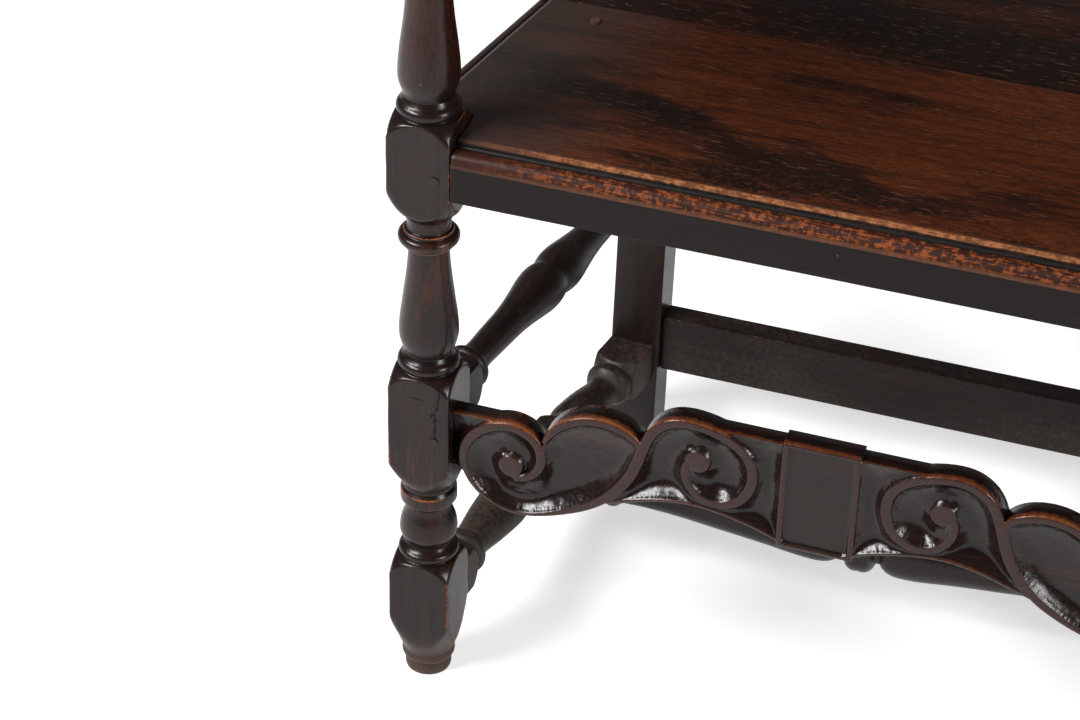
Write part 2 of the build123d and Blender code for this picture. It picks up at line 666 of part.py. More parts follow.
def carved_ground():
    """Outline of the board, following the middle lines of the bands that edge it."""
    leaf = middle_line(LEAF_RIM)
    belly = middle_line(SCROLL_BELLY + SCROLL_RISE)
    scrolled = make_face([Spline(*belly), Line(belly[-1], leaf[-1]), Spline(*leaf),
                          Line(leaf[0], belly[0])])
    rise = middle_line(SCROLL_RISE + SCROLL_SHOULDER)
    foot = middle_line(LOWER_RIM)
    corner = (FRONT_X, TOP_EDGE)
    base = (FRONT_X, foot[-1][1])
    shoulder = (rise[-1][0] - BOSS_RADIUS, TOP_EDGE)
    right = make_face([Spline(*rise), Line(rise[-1], shoulder), Line(shoulder, corner),
                       Line(corner, base), Line(base, foot[-1]), Spline(*foot),
                       Line(foot[0], rise[0])])
    return scrolled + right + block_face((HALF, CARVED_END_REACH), CARVED_END)


def block_face(x, z):
    corners = [(x[0], z[0]), (x[1], z[0]), (x[1], z[1]), (x[0], z[1])]
    return make_face(Polyline(*corners, close=True))


def raised_faces():
    tablet = (FRONT_X - TABLET_HALF_WIDTH, FRONT_X)
    height = (LOWER_RIM[-1][1] - TABLET_RISE[0], TOP_EDGE + TABLET_RISE[1])
    border = block_face(tablet, height)
    field = block_face((tablet[0] + TABLET_BORDER, FRONT_X),
                       (height[0] + TABLET_BORDER, height[1] - TABLET_BORDER))
    faces = [band(SCROLL), band(LEAF_RIM), band(LOWER_RIM), border - field]
    faces += [Pos(*eye) * Circle(BOSS_RADIUS) for eye in (SMALL_EYE, LARGE_EYE)]
    return faces


def carved_front_stretcher():
    at_left_post = Plane(origin=(-FRONT_X, CARVED_BACK, MID_BLOCK[0]), x_dir=(1, 0, 0),
                         z_dir=(0, -1, 0))
    half = extrude(at_left_post * carved_ground(), CARVED_THICKNESS - RELIEF)
    for face in raised_faces():
        half += extrude(at_left_post * face, CARVED_THICKNESS)
    body = half + mirrored(half)
    for side in SIDES.values():
        body += cross_tenon("carved_front_stretcher", side)
    return drilled(body)


# ---------------------------------------------------------------------------------------------
# Seat boards
# ---------------------------------------------------------------------------------------------

def moulding_cutter():
    """What is planed off a board's edge: local X is outwards from the arris, local Y is up.

    From the top: a worn fillet, a quirk, an ovolo and a square lip.
    """
    def at(out, up):
        return out * MOULDING_DEPTH, up * SEAT_THICKNESS

    arris, fillet, cove, quirk = at(0, 0), at(0.212, -0.152), at(0.247, -0.317), at(0.353, -0.386)
    crest, crown, foot, lip = at(0.435, -0.303), at(0.788, -0.455), at(0.906, -0.8), at(1, -0.8)
    outside = [at(1.4, -0.8), at(1.4, 0.2), at(0, 0.2)]
    return make_face([Line(arris, fillet), ThreePointArc(fillet, cove, quirk), Line(quirk, crest),
                      ThreePointArc(crest, crown, foot), Polyline(foot, lip, *outside, arris)])


def moulded_edge(start, along, outward, length):
    """Cutter for a moulded edge whose lip runs from a start point along a direction."""
    arris = start - outward * MOULDING_DEPTH
    plane = Plane(origin=(arris.X, arris.Y, SEAT_TOP), x_dir=(outward.X, outward.Y, 0),
                  z_dir=(along.X, along.Y, 0))
    if plane.y_dir.Z < 0:
        plane = Plane(origin=plane.origin, x_dir=plane.x_dir, z_dir=-plane.z_dir)
        return extrude(plane * moulding_cutter(), -length)
    return extrude(plane * moulding_cutter(), length)


def seat_slab():
    """Whole seat: moulded on three sides and notched round the four posts."""
    front = -HALF - SEAT_LIP
    back = rear_y(SEAT_TOP) + REAR_DEPTH / 2
    plan = []
    for side in (-1, 1):
        start, along, _ = outer_line(side, SEAT_LIP)
        ends = [start + along * ((y - start.Y) / along.Y) for y in (front, back)]
        plan += ends if side < 0 else ends[::-1]
    slab = extrude(Pos(0, 0, SEAT_UNDERSIDE) * make_face(Polyline(*plan, close=True)),
                   SEAT_THICKNESS, dir=(0, 0, 1))
    slab -= moulded_edge(Vector(-FRONT_X, front), Vector(1, 0), Vector(0, -1), FRONT_SPACING)
    for side in SIDES.values():
        start, along, out = outer_line(side, SEAT_LIP)
        slab -= moulded_edge(start - along * FRONT_SECTION, along, out,
                             POST_SETBACK + 3 * FRONT_SECTION)
    for side in SIDES.values():
        slab -= notch(side, FRONT_X, HALF, 0)
        slab -= notch(side, REAR_X, REAR_WIDTH / 2, rear_y(SEAT_UNDERSIDE))
    return slab


def notch(side, x, half_width, y):
    """Corner of the seat that makes way for a post, open to the outside."""
    inner, outer = x - half_width - NOTCH_GAP, x + 2 * FRONT_SECTION
    if y == 0:
        y_limits = (-2 * FRONT_SECTION, HALF + NOTCH_GAP)
    else:
        y_limits = (y - REAR_DEPTH / 2 - NOTCH_GAP, y + 2 * REAR_DEPTH)
    x_limits = (inner, outer) if side > 0 else (-outer, -inner)
    return block(x_limits, y_limits, (SEAT_UNDERSIDE - 1, SEAT_TOP + 1))


def seat_board(y_limits):
    strip = block((-FRONT_SPACING, FRONT_SPACING), y_limits, (0, ARM_UNDERSIDE))
    return drilled(seat_slab() & strip)


def seat_batten_blank(clearance=0.0):
    """Batten under the joint of the boards; grown by a clearance, it cuts its housings."""
    y_limits = grown((SEAT_JOINT - BATTEN_WIDTH / 2, SEAT_JOINT + BATTEN_WIDTH / 2), clearance)
    end = BATTEN_HOUSING - RAIL_THICKNESS + clearance
    left, right = [side_strip(side, end, 0, y_limits)[:2] for side in SIDES.values()]
    face = make_face(Polyline(*left, *right[::-1], close=True))
    bottom = SEAT_UNDERSIDE - BATTEN_THICKNESS - clearance
    return extrude(Pos(0, 0, bottom) * face, BATTEN_THICKNESS + 2 * clearance, dir=(0, 0, 1))


# ---------------------------------------------------------------------------------------------
# Raked back, modelled upright in the back's own frame
# ---------------------------------------------------------------------------------------------

PANEL_Z = (LOWER_BACK_RAIL[1], TOP_BACK_RAIL[0])
PANEL_X = (MUNTIN_WIDTH / 2, INNER_SPAN / 2)
TONGUE_Y = (-PANEL_THICKNESS / 2, PANEL_THICKNESS / 2)


def panel_groove(side):
    """Groove in a rear post that takes the edge of a panel."""
    inner = INNER_SPAN / 2
    deep = inner + PANEL_TONGUE + FIT
    x = (inner - 1, deep) if side > 0 else (-deep, -inner + 1)
    return block(x, grown(TONGUE_Y, FIT), grown(PANEL_Z, PANEL_TONGUE + FIT))


def rail_groove():
    """Space of both panels with their tongues, which the rails lose."""
    reach = INNER_SPAN / 2 + PANEL_TONGUE + FIT
    return block((-reach, reach), grown(TONGUE_Y, FIT), grown(PANEL_Z, PANEL_TONGUE + FIT))


def muntin_tenons(clearance=0.0):
    """Tenons at both ends of the muntin, in the rails' grooves and below them."""
    half = MUNTIN_WIDTH / 2 - PANEL_TONGUE - 4
    reach = MUNTIN_TENON + (MORTISE_SPARE if clearance else 0)
    y = grown(TONGUE_Y, clearance)
    return block(grown((-half, half), clearance), y, grown(PANEL_Z, reach))


def back_muntin():
    half = MUNTIN_WIDTH / 2
    body = block((-half, half), BACK_RAIL_Y, PANEL_Z)
    for side in SIDES.values():
        groove = (half - PANEL_TONGUE - FIT, half + 1)
        x = groove if side > 0 else (-groove[1], -groove[0])
        body -= block(x, grown(TONGUE_Y, FIT), grown(PANEL_Z, 1))
    return BACK * (body + muntin_tenons())


def grooved_rail(name):
    rail = cross_piece(name) - BACK * rail_groove()
    return drilled(rail - BACK * muntin_tenons(FIT))


def back_panel(side):
    """Panel with feathered edges in the grooves and a raised field at the front."""
    x = grown(PANEL_X, PANEL_TONGUE)
    z = grown(PANEL_Z, PANEL_TONGUE)
    board = block(x, TONGUE_Y, z)
    middle = ((PANEL_X[0] + PANEL_X[1]) / 2, (PANEL_Z[0] + PANEL_Z[1]) / 2)
    face = Plane(origin=(middle[0], TONGUE_Y[0], middle[1]), x_dir=(1, 0, 0), z_dir=(0, -1, 0))
    sight = (PANEL_X[1] - PANEL_X[0] - 2, PANEL_Z[1] - PANEL_Z[0] - 2)
    slope = degrees(atan(PANEL_BEVEL / PANEL_FIELD_RISE))
    field = extrude(face * Rectangle(*sight), PANEL_FIELD_RISE, taper=slope)
    panel = board + field
    return BACK * (panel if side > 0 else mirrored(panel))


def crest_outline():
    """Shaped top: a middle arch between two scrolls that fall to the posts."""
    def at(out, up):
        return out * INNER_SPAN / 2, up * CREST_HEIGHT

    outer, scroll, inner = at(1, 0.41), at(0.645, 0.565), at(0.475, 0.63)
    arch = Spline(inner, at(0.28, 0.87), at(0, 1), tangents=[(-0.75, 1), (-1, 0)])
    return make_face([Polyline(at(0, 1), at(0, 0), at(1, 0), outer),
                      ThreePointArc(outer, at(0.84, 0.74), scroll),
                      ThreePointArc(scroll, at(0.55, 0.455), inner), arch])


def back_crest():
    plane = Plane(origin=(0, CREST_Y[1], CREST_Z[0]), x_dir=(1, 0, 0), z_dir=(0, -1, 0))
    half = extrude(plane * crest_outline(), CREST_THICKNESS)
    crest = BACK * (half + mirrored(half))
    for side in SIDES.values():
        crest += cross_tenon("back_crest", side)
    return drilled(crest)


# ---------------------------------------------------------------------------------------------
# Arms
# ---------------------------------------------------------------------------------------------

ARM_MIDDLE = ARM_UNDERSIDE + ARM_THICKNESS / 2
ARM_REAR_HEIGHT = ARM_MIDDLE + ARM_RISE
ARM_LENGTH = hypot(REAR_X - FRONT_X, rear_y(ARM_REAR_HEIGHT))     # between the posts' middles


def arm_frame(side):
    """Frame at the top of the front post: local X runs back to the rear post and local Z is up."""
    run = (side * (REAR_X - FRONT_X), rear_y(ARM_REAR_HEIGHT), 0)
    return Plane(origin=(side * FRONT_X, 0, ARM_MIDDLE), x_dir=run, z_dir=(0, 0, 1))


def arm_tenon(side, clearance=0.0):
    face = ARM_LENGTH - REAR_DEPTH / 2
    spare = MORTISE_SPARE if clearance else 0
    along = (face - OVERLAP, face + SIDE_TENON + spare)
    across = grown((-TENON_THICKNESS / 2, TENON_THICKNESS / 2), clearance)
    up = grown((ARM_RISE - STRETCHER_TENON / 2, ARM_RISE + STRETCHER_TENON / 2), clearance)
    return arm_frame(side) * block(along, across, up)


def arm_outline():
    """Side view: a top that dips and rises again to the rear post, and a round scroll in front."""
    half = ARM_THICKNESS / 2
    dip, climb = 0.38 * ARM_LENGTH, 0.72 * ARM_LENGTH
    slope = 0.16
    top = Spline((-ARM_OVERHANG, half), (0, half - 0.6), (dip, half - ARM_DIP),
                 (climb, half + 0.28 * ARM_RISE), (ARM_LENGTH, ARM_RISE + half),
                 tangents=[(1, 0), (1, slope)])
    under = Spline((ARM_LENGTH, ARM_RISE - half), (climb, 0.32 * ARM_RISE - half),
                   (dip, -ARM_DIP / 2 - half), (HALF, -half), tangents=[(-1, -slope), (-1, 0)])
    corners = [(HALF, -half), (-ARM_OVERHANG, -half), (-ARM_OVERHANG, half)]
    rear = Line((ARM_LENGTH, ARM_RISE + half), (ARM_LENGTH, ARM_RISE - half))
    strip = make_face([top, rear, under, Polyline(*corners)])
    return strip + Pos(-ARM_OVERHANG, half - ARM_SCROLL_RADIUS) * Circle(ARM_SCROLL_RADIUS)


def arm_plan():
    """View from above: widest at the scroll and narrowing to the rear post."""
    wide, narrow = ARM_WIDTH / 2, ARM_REAR_WIDTH / 2
    tip = -ARM_OVERHANG - 1.05 * ARM_SCROLL_RADIUS
    places = [(tip, 1.06 * wide), (-ARM_OVERHANG / 2, 0.98 * wide), (0.3 * ARM_LENGTH, 0.96 * wide),
              (ARM_LENGTH, narrow)]
    left, right = Spline(*places), Spline(*[(x, -y) for x, y in places])
    return make_face([left, Line(left @ 1, right @ 1), right, Line(right @ 0, left @ 0)])


def arm(side):
    """Sweeping arm with a scrolled end in front of the post."""
    side_view = extrude(Plane.XZ * arm_outline(), ARM_WIDTH, both=True)
    plan_view = extrude(Plane.XY * arm_plan(), 3 * ARM_THICKNESS, both=True)
    body = side_view & plan_view
    upper_edges = body.edges().filter_by(lambda edge: edge.length > ARM_LENGTH)
    body = arm_frame(side) * fillet(upper_edges, ARM_ROUNDING)
    behind_post_face = BACK * block((-FRONT_SPACING, FRONT_SPACING),
                                    (-REAR_DEPTH / 2, POST_SETBACK), (0, UPRIGHT_LENGTH))
    pin_hole = Pos(side * FRONT_X, 0, ARM_UNDERSIDE) * Cylinder(
        ARM_PIN_RADIUS + FIT, 2 * (ARM_PIN + MORTISE_SPARE))
    return drilled(body - behind_post_face - pin_hole + arm_tenon(side))


# ---------------------------------------------------------------------------------------------
# Pegs. Each family is a list of places: outer end, direction into the wood and length
# ---------------------------------------------------------------------------------------------

def peg(place, clearance=0.0):
    start, into, length = place
    out = PEG_PROUD if not clearance else 4 * PEG_PROUD
    plane = Plane(origin=Vector(*start) - Vector(*into) * out, z_dir=into)
    return extrude(plane * Circle(PEG_RADIUS + clearance), length + out)


def cross_pegs(names):
    """Pegs through the tenons of cross pieces, driven in from the front."""
    places = []
    for name in names:
        piece = CROSS_PIECES[name]
        z = sum(piece["tenon_z"]) / 2
        front = -HALF if piece["post"] == "front" else -REAR_DEPTH / 2
        for side in SIDES.values():
            x = side * (piece["shoulder"] + PEG_INSET)
            start = piece["frame"] * Pos(x, front, z)
            into = piece["frame"] * Pos(x, front + 1, z)
            direction = into.position - start.position
            places.append((tuple(start.position), tuple(direction), PEG_LENGTH))
    return places


def side_pegs(names):
    """Pegs through the tenons of side pieces, driven in from the outer faces of the posts."""
    places = []
    for name in names:
        height = SIDE_HEIGHTS[name]
        for side in SIDES.values():
            front = (side * (FRONT_X + HALF), PEG_INSET, height)
            rear_face = rear_y(height) - REAR_DEPTH / 2
            rear = (side * (REAR_X + REAR_WIDTH / 2), rear_face + SIDE_TENON / 2, height)
            places += [(front, (-side, 0, 0), PEG_LENGTH + 2), (rear, (-side, 0, 0), PEG_LENGTH)]
    return places


def arm_pegs():
    places = []
    for side in SIDES.values():
        front = (side * (FRONT_X + ARM_WIDTH / 2), 0, ARM_UNDERSIDE + ARM_PIN / 2)
        rear_face = rear_y(ARM_REAR_HEIGHT) - REAR_DEPTH / 2
        rear = (side * (REAR_X + REAR_WIDTH / 2), rear_face + SIDE_TENON / 2, ARM_REAR_HEIGHT)
        places += [(front, (-side, 0, 0), ARM_WIDTH / 2 + 8), (rear, (-side, 0, 0), PEG_LENGTH)]
    return places


def seat_pegs():
    """Pegs that hold the boards down on the batten and on the rear rail."""
    top = SEAT_TOP + SEAT_PEG_PROUD - PEG_PROUD
    into, length = (0, 0, -1), top - SEAT_UNDERSIDE + PEG_HOLD
    places = []
    for side in SIDES.values():
        places += [((side * SEAT_PEG_X, y, top), into, length)
                   for y in (SEAT_JOINT - SEAT_PEG_Y, SEAT_JOINT + SEAT_PEG_Y)]
        places.append(((side * REAR_X * 0.6, rear_y(RAIL_BOTTOM), top), into, length))
    return places


PEGS = {
    "seat_rail_pegs": cross_pegs(("front_seat_rail", "rear_seat_rail"))
    + side_pegs(("side_seat_rail",)),
    "stretcher_pegs": cross_pegs(("carved_front_stretcher", "rear_stretcher"))
    + side_pegs(("upper_side_stretcher", "lower_side_stretcher")),
    "back_frame_pegs": cross_pegs(("back_lower_rail", "back_top_rail", "back_crest")),
    "arm_pegs": arm_pegs(),
    "seat_board_pegs": seat_pegs(),
}


def peg_group(name):
    return Compound([peg(place).solid() for place in PEGS[name]])


HOLES = [peg(place, PEG_FIT) for family in PEGS.values() for place in family]


def apart(a, b):
    """Whether two bounding boxes keep clear of each other."""
    return (a.max.X < b.min.X or b.max.X < a.min.X or a.max.Y < b.min.Y or b.max.Y < a.min.Y
            or a.max.Z < b.min.Z or b.max.Z < a.min.Z)


def drilled(piece):
    """Piece with the peg holes that pass through it."""
    box = piece.bounding_box()
    for hole in HOLES:
        if not apart(box, hole.bounding_box()):
            piece -= hole
    return piece


# ---------------------------------------------------------------------------------------------
# The chair
# ---------------------------------------------------------------------------------------------

def chair():
    """Every piece by name."""
    pieces = {}
    for name, side in SIDES.items():
        pieces[f"front_post_{name}"] = front_post(side)
        pieces[f"rear_post_{name}"] = rear_post(side)
        pieces[f"side_seat_rail_{name}"] = side_seat_rail(side)
        pieces[f"upper_side_stretcher_{name}"] = side_stretcher("upper_side_stretcher", side)
        pieces[f"lower_side_stretcher_{name}"] = side_stretcher("lower_side_stretcher", side)
        pieces[f"arm_{name}"] = arm(side)
        pieces[f"back_panel_{name}"] = back_panel(side)
    for name in ("front_seat_rail", "rear_seat_rail", "rear_stretcher"):
        pieces[name] = drilled(cross_piece(name))
    pieces["carved_front_stretcher"] = carved_front_stretcher()
    pieces["medial_stretcher"] = medial_stretcher()
    pieces["seat_board_front"] = seat_board((-FRONT_SECTION, SEAT_JOINT - BOARD_GAP / 2))
    pieces["seat_board_rear"] = seat_board((SEAT_JOINT + BOARD_GAP / 2, 2 * POST_SETBACK))
    pieces["seat_batten"] = drilled(seat_batten_blank())
    pieces["back_lower_rail"] = grooved_rail("back_lower_rail")
    pieces["back_top_rail"] = grooved_rail("back_top_rail")
    pieces["back_muntin"] = back_muntin()
    pieces["back_crest"] = back_crest()
    for name in PEGS:
        pieces[name] = peg_group(name)
    return pieces


def main():
    pieces = chair()
    boxes = [piece.bounding_box() for piece in pieces.values()]
    front, back = min(box.min.Y for box in boxes), max(box.max.Y for box in boxes)
    origin = Pos(0, -(front + back) / 2, 0)
    os.makedirs("parts", exist_ok=True)
    for name, piece in pieces.items():
        export_step(origin * piece, f"parts/{name}.step")


main()
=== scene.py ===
"""Looks of a joined oak armchair with turned posts and a carved front stretcher.

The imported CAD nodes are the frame. Turned pieces are redrawn as fine lathe meshes whose radii are
read off their nodes, the carved board as a relief read off its node, and the sawn pieces as copies
of their nodes with worn arrises. Lengths are in metres unless a name says otherwise.
"""

import math

import bmesh
import bpy
import numpy as np
from mathutils import Matrix, Vector
from mathutils.bvhtree import BVHTree
from mathutils.geometry import delaunay_2d_cdt
from mathutils.kdtree import KDTree


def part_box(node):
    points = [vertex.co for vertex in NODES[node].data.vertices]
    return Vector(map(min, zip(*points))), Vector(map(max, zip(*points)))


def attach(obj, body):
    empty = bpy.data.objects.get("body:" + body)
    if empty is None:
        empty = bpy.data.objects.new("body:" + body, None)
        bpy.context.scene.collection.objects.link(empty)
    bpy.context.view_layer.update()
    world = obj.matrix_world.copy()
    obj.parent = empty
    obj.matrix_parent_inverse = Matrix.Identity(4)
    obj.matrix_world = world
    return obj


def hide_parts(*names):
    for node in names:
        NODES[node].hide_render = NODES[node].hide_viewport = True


MM = 0.001
SIDES = {"left": -1, "right": 1}
REACH = 0.09                      # rays that read a node start this far from its axis

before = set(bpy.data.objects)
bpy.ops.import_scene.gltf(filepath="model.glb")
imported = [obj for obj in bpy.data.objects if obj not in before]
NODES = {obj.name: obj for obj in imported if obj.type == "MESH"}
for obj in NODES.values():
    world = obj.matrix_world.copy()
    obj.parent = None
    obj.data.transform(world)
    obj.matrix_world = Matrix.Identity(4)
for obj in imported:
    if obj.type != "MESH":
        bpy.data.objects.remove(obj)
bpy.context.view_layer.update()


# ---------------------------------------------------------------------------------------------
# Numbers: smooth noise and smoothing
# ---------------------------------------------------------------------------------------------

def lattice_value(cells, seed):
    """A fixed random number from -1 to 1 for each whole-number cell."""
    mixed = cells @ np.array([73856093, 19349663, 83492791]) + seed * 2654435761
    mixed = (mixed ^ (mixed >> 13)) * 1274126177
    mixed = mixed ^ (mixed >> 16)
    return (mixed & 0xFFFF) / 32767.5 - 1


def smooth_noise(points, size, seed):
    """Noise from -1 to 1 whose bumps are about as large as the size."""
    scaled = np.asarray(points, float) / size
    base = np.floor(scaled).astype(np.int64)
    part = scaled - base
    part = part * part * (3 - 2 * part)
    total = np.zeros(len(scaled))
    for corner in np.ndindex(2, 2, 2):
        weight = np.prod(np.where(np.array(corner, bool), part, 1 - part), axis=1)
        total += weight * lattice_value(base + np.array(corner), seed)
    return total


def step(values, low, high):
    """Smooth rise from 0 at low to 1 at high."""
    t = np.clip((values - low) / (high - low), 0, 1)
    return t * t * (3 - 2 * t)


def smoothed(values, sigma):
    """Gaussian smoothing of a row of samples; sigma is in samples."""
    reach = int(3 * sigma) + 1
    kernel = np.exp(-0.5 * (np.arange(-reach, reach + 1) / sigma) ** 2)
    padded = np.pad(values, reach, mode="edge")
    return np.convolve(padded, kernel / kernel.sum(), mode="valid")


def blurred(grid, sigma):
    for axis in (0, 1):
        grid = np.apply_along_axis(smoothed, axis, grid, sigma)
    return grid


def least(a, b, blend):
    """Smaller of two values, with the crossing rounded off over a width."""
    near = np.clip(blend - np.abs(a - b), 0, None) / blend
    return np.minimum(a, b) - near * near * blend / 4


# ---------------------------------------------------------------------------------------------
# Meshes
# ---------------------------------------------------------------------------------------------

def new_piece(name, points, faces, material, replaced):
    mesh = bpy.data.meshes.new(name)
    mesh.from_pydata([tuple(p) for p in points], [], faces)
    mesh.validate()
    bm = bmesh.new()
    bm.from_mesh(mesh)
    bmesh.ops.recalc_face_normals(bm, faces=bm.faces)
    bm.to_mesh(mesh)
    bm.free()
    piece = bpy.data.objects.new(name, mesh)
    bpy.context.scene.collection.objects.link(piece)
    return finished(piece, material, replaced)


def finished(piece, material, replaced):
    mesh = piece.data
    mesh.shade_smooth()
    mark_wear_and_hollows(mesh)
    mesh.materials.clear()
    mesh.materials.append(material)
    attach(piece, "root")
    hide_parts(replaced)
    return piece


def coordinates(mesh):
    flat = np.zeros(3 * len(mesh.vertices))
    mesh.vertices.foreach_get("co", flat)
    return flat.reshape(-1, 3)


def mark_wear_and_hollows(mesh):
    """Stores how convex (worn bare) and how hollow the surface is at each vertex; hollows get painted shade and
    dust.
    """
    points = coordinates(mesh)
    normals = np.zeros(3 * len(mesh.vertices))
    mesh.vertices.foreach_get("normal", normals)
    normals = normals.reshape(-1, 3)
    ends = np.zeros(2 * len(mesh.edges), int)
    mesh.edges.foreach_get("vertices", ends)
    a, b = ends.reshape(-1, 2).T
    run = points[b] - points[a]
    square = np.maximum((run * run).sum(1), 1e-10)
    bend = np.zeros(len(points))
    count = np.zeros(len(points))
    for here, way in ((a, run), (b, -run)):
        curvature = 2 * (way * normals[here]).sum(1) / square
        np.add.at(bend, here, np.clip(curvature, -900, 900))
        np.add.at(count, here, 1)
    bend *= MM / np.maximum(count, 1)          # per millimetre, positive in a hollow
    for _ in range(2):
        spread = np.zeros(len(points))
        np.add.at(spread, a, bend[b])
        np.add.at(spread, b, bend[a])
        bend = 0.5 * bend + 0.5 * spread / np.maximum(count, 1)
    for name, values in (("wear", step(-bend, 0.05, 0.30)), ("hollow", step(bend, 0.02, 0.16))):
        layer = mesh.attributes.new(name, "FLOAT", "POINT")
        layer.data.foreach_set("value", values.astype(np.float32))


def node_tree(node):
    mesh = NODES[node].data
    return BVHTree.FromPolygons([v.co for v in mesh.vertices], [p.vertices for p in mesh.polygons])


# ---------------------------------------------------------------------------------------------
# Turned pieces
# ---------------------------------------------------------------------------------------------

STATION = 0.25 * MM               # spacing at which a node's radius is read
CORNER_ANGLES = np.radians([0, 1.6, 3.4, 5.6, 8.4, 12, 17, 23, 30, 37.5])


def turned_profile(tree, origin, along, up, length, tenon_radius):
    """Radius of a turned node along its axis, the largest of its four diagonals."""
    across = along.cross(up)
    stations = np.arange(STATION, length, STATION)
    radii = np.zeros(len(stations))
    for i, s in enumerate(stations):
        middle = origin + along * s
        for quarter in range(4):
            angle = math.radians(45 + 90 * quarter)
            out = up * math.cos(angle) + across * math.sin(angle)
            hit = tree.ray_cast(middle + out * REACH, -out, REACH)[0]
            if hit is not None:
                radii[i] = max(radii[i], (hit - middle).length)
    body = np.flatnonzero(radii > tenon_radius)
    radii[:body[0]] = radii[body[0]]
    radii[body[-1]:] = radii[body[-1]]
    return stations, smoothed(radii, 1.3)


def ring_stations(stations, radii, tolerance=0.03 * MM, longest=5 * MM):
    """Stations that follow the profile closely, with long steps where it is straight."""
    chosen, start = [0], 0
    for end in range(2, len(stations)):
        span = slice(start, end + 1)
        share = (stations[span] - stations[start]) / (stations[end] - stations[start])
        chord = radii[start] + share * (radii[end] - radii[start])
        if np.abs(chord - radii[span]).max() > tolerance or stations[end] - stations[start] > longest:
            start = end - 1
            chosen.append(start)
    return np.array(chosen + [len(stations) - 1])


def ring_angles():
    angles = []
    for quarter in range(4):
        corner = math.radians(45 + 90 * quarter)
        angles += [corner - a for a in CORNER_ANGLES[:0:-1]] + [corner + a for a in CORNER_ANGLES]
        angles.append(corner + math.radians(45))
    return np.array(angles)


def squared_radius(angles, half, rounding):
    """Distance to a square with rounded corners, per ring (rows) and angle (columns)."""
    quarter = np.radians(90)
    off_corner = (angles % quarter) - quarter / 2
    flat = half / np.cos(quarter / 2 - np.abs(off_corner))
    centre = (half - rounding) * math.sqrt(2)
    inside = rounding ** 2 - (centre * np.sin(off_corner)) ** 2
    arc = centre * np.cos(off_corner) + np.sqrt(np.maximum(inside, 0))
    on_arc = (inside > 0) & (arc * np.cos(quarter / 2 - np.abs(off_corner)) < half + 1e-9)
    return np.where(on_arc, np.minimum(arc, flat), flat)


def turned_piece(node, material, origin, along, up, length, section, seed,
                 tenon_radius=8 * MM, arris=1.6 * MM):
    """Lathe mesh of a turned node, squared to its section, with worn corners and slight dents."""
    stations, radii = turned_profile(node_tree(node), origin, along, up, length, tenon_radius)
    rings = ring_stations(stations, radii)
    s, turned = stations[rings], radii[rings]
    angles = ring_angles()
    across = along.cross(up)
    spokes = np.outer(np.cos(angles), up) + np.outer(np.sin(angles), across)
    axis = np.array(origin)[None, :] + s[:, None] * np.array(along)[None, :]
    grid_shape = (len(s), len(angles))
    rough = axis[:, None, :] + spokes[None, :, :] * 20 * MM
    flat_points = rough.reshape(-1, 3)
    worn = smooth_noise(flat_points, 18 * MM, seed) + 0.6 * smooth_noise(flat_points, 6 * MM, seed + 1)
    rounding = arris * (1 + 0.55 * worn).clip(0.3, 2.2).reshape(grid_shape)
    radius = least(turned[:, None], squared_radius(angles[None, :], section / 2, rounding), 0.7 * MM)
    dents = smooth_noise(flat_points, 22 * MM, seed + 2) + 0.5 * smooth_noise(flat_points, 7 * MM, seed + 3)
    radius -= (0.16 * MM * (1 + dents / 1.5)).reshape(grid_shape)
    points = axis[:, None, :] + spokes[None, :, :] * radius[:, :, None]
    count = len(angles)
    faces = [(i * count + j, i * count + (j + 1) % count, (i + 1) * count + (j + 1) % count,
              (i + 1) * count + j) for i in range(len(s) - 1) for j in range(count)]
    faces.append(tuple(range(count))[::-1])
    faces.append(tuple((len(s) - 1) * count + j for j in range(count)))
    points = points.reshape(-1, 3)
    return new_piece(f"{node}_turned", points, faces, material, node)


# ---------------------------------------------------------------------------------------------
# Sawn and planed pieces: copies of their nodes with worn arrises
# ---------------------------------------------------------------------------------------------

def face_planes(bm, smallest):
    """Distinct planes of the large faces, as a point and a normal."""
    planes = []
    for face in bm.faces:
        if face.calc_area() < smallest:
            continue
        normal, offset = face.normal.copy(), face.normal.dot(face.verts[0].co)
        if all(normal.dot(n) < 0.999 or abs(offset - o) > 0.2 * MM for n, o in planes):
            planes.append((normal, offset))
    return planes


def cut(bm, point, normal):
    everything = bm.verts[:] + bm.edges[:] + bm.faces[:]
    bmesh.ops.bisect_plane(bm, geom=everything, dist=1e-6, plane_co=point, plane_no=normal)


def small_loops(edges, largest):
    """Edges in islands no wider than a size, such as the mouths of peg holes."""
    left, found = set(edges), set()
    while left:
        island, ahead = set(), [left.pop()]
        while ahead:
            edge = ahead.pop()
            island.add(edge)
            beside = {other for vert in edge.verts for other in vert.link_edges} & left
            left -= beside
            ahead += beside
        points = np.array([vert.co for edge in island for vert in edge.verts])
        if (points.max(0) - points.min(0)).max() < largest:
            found |= island
    return found


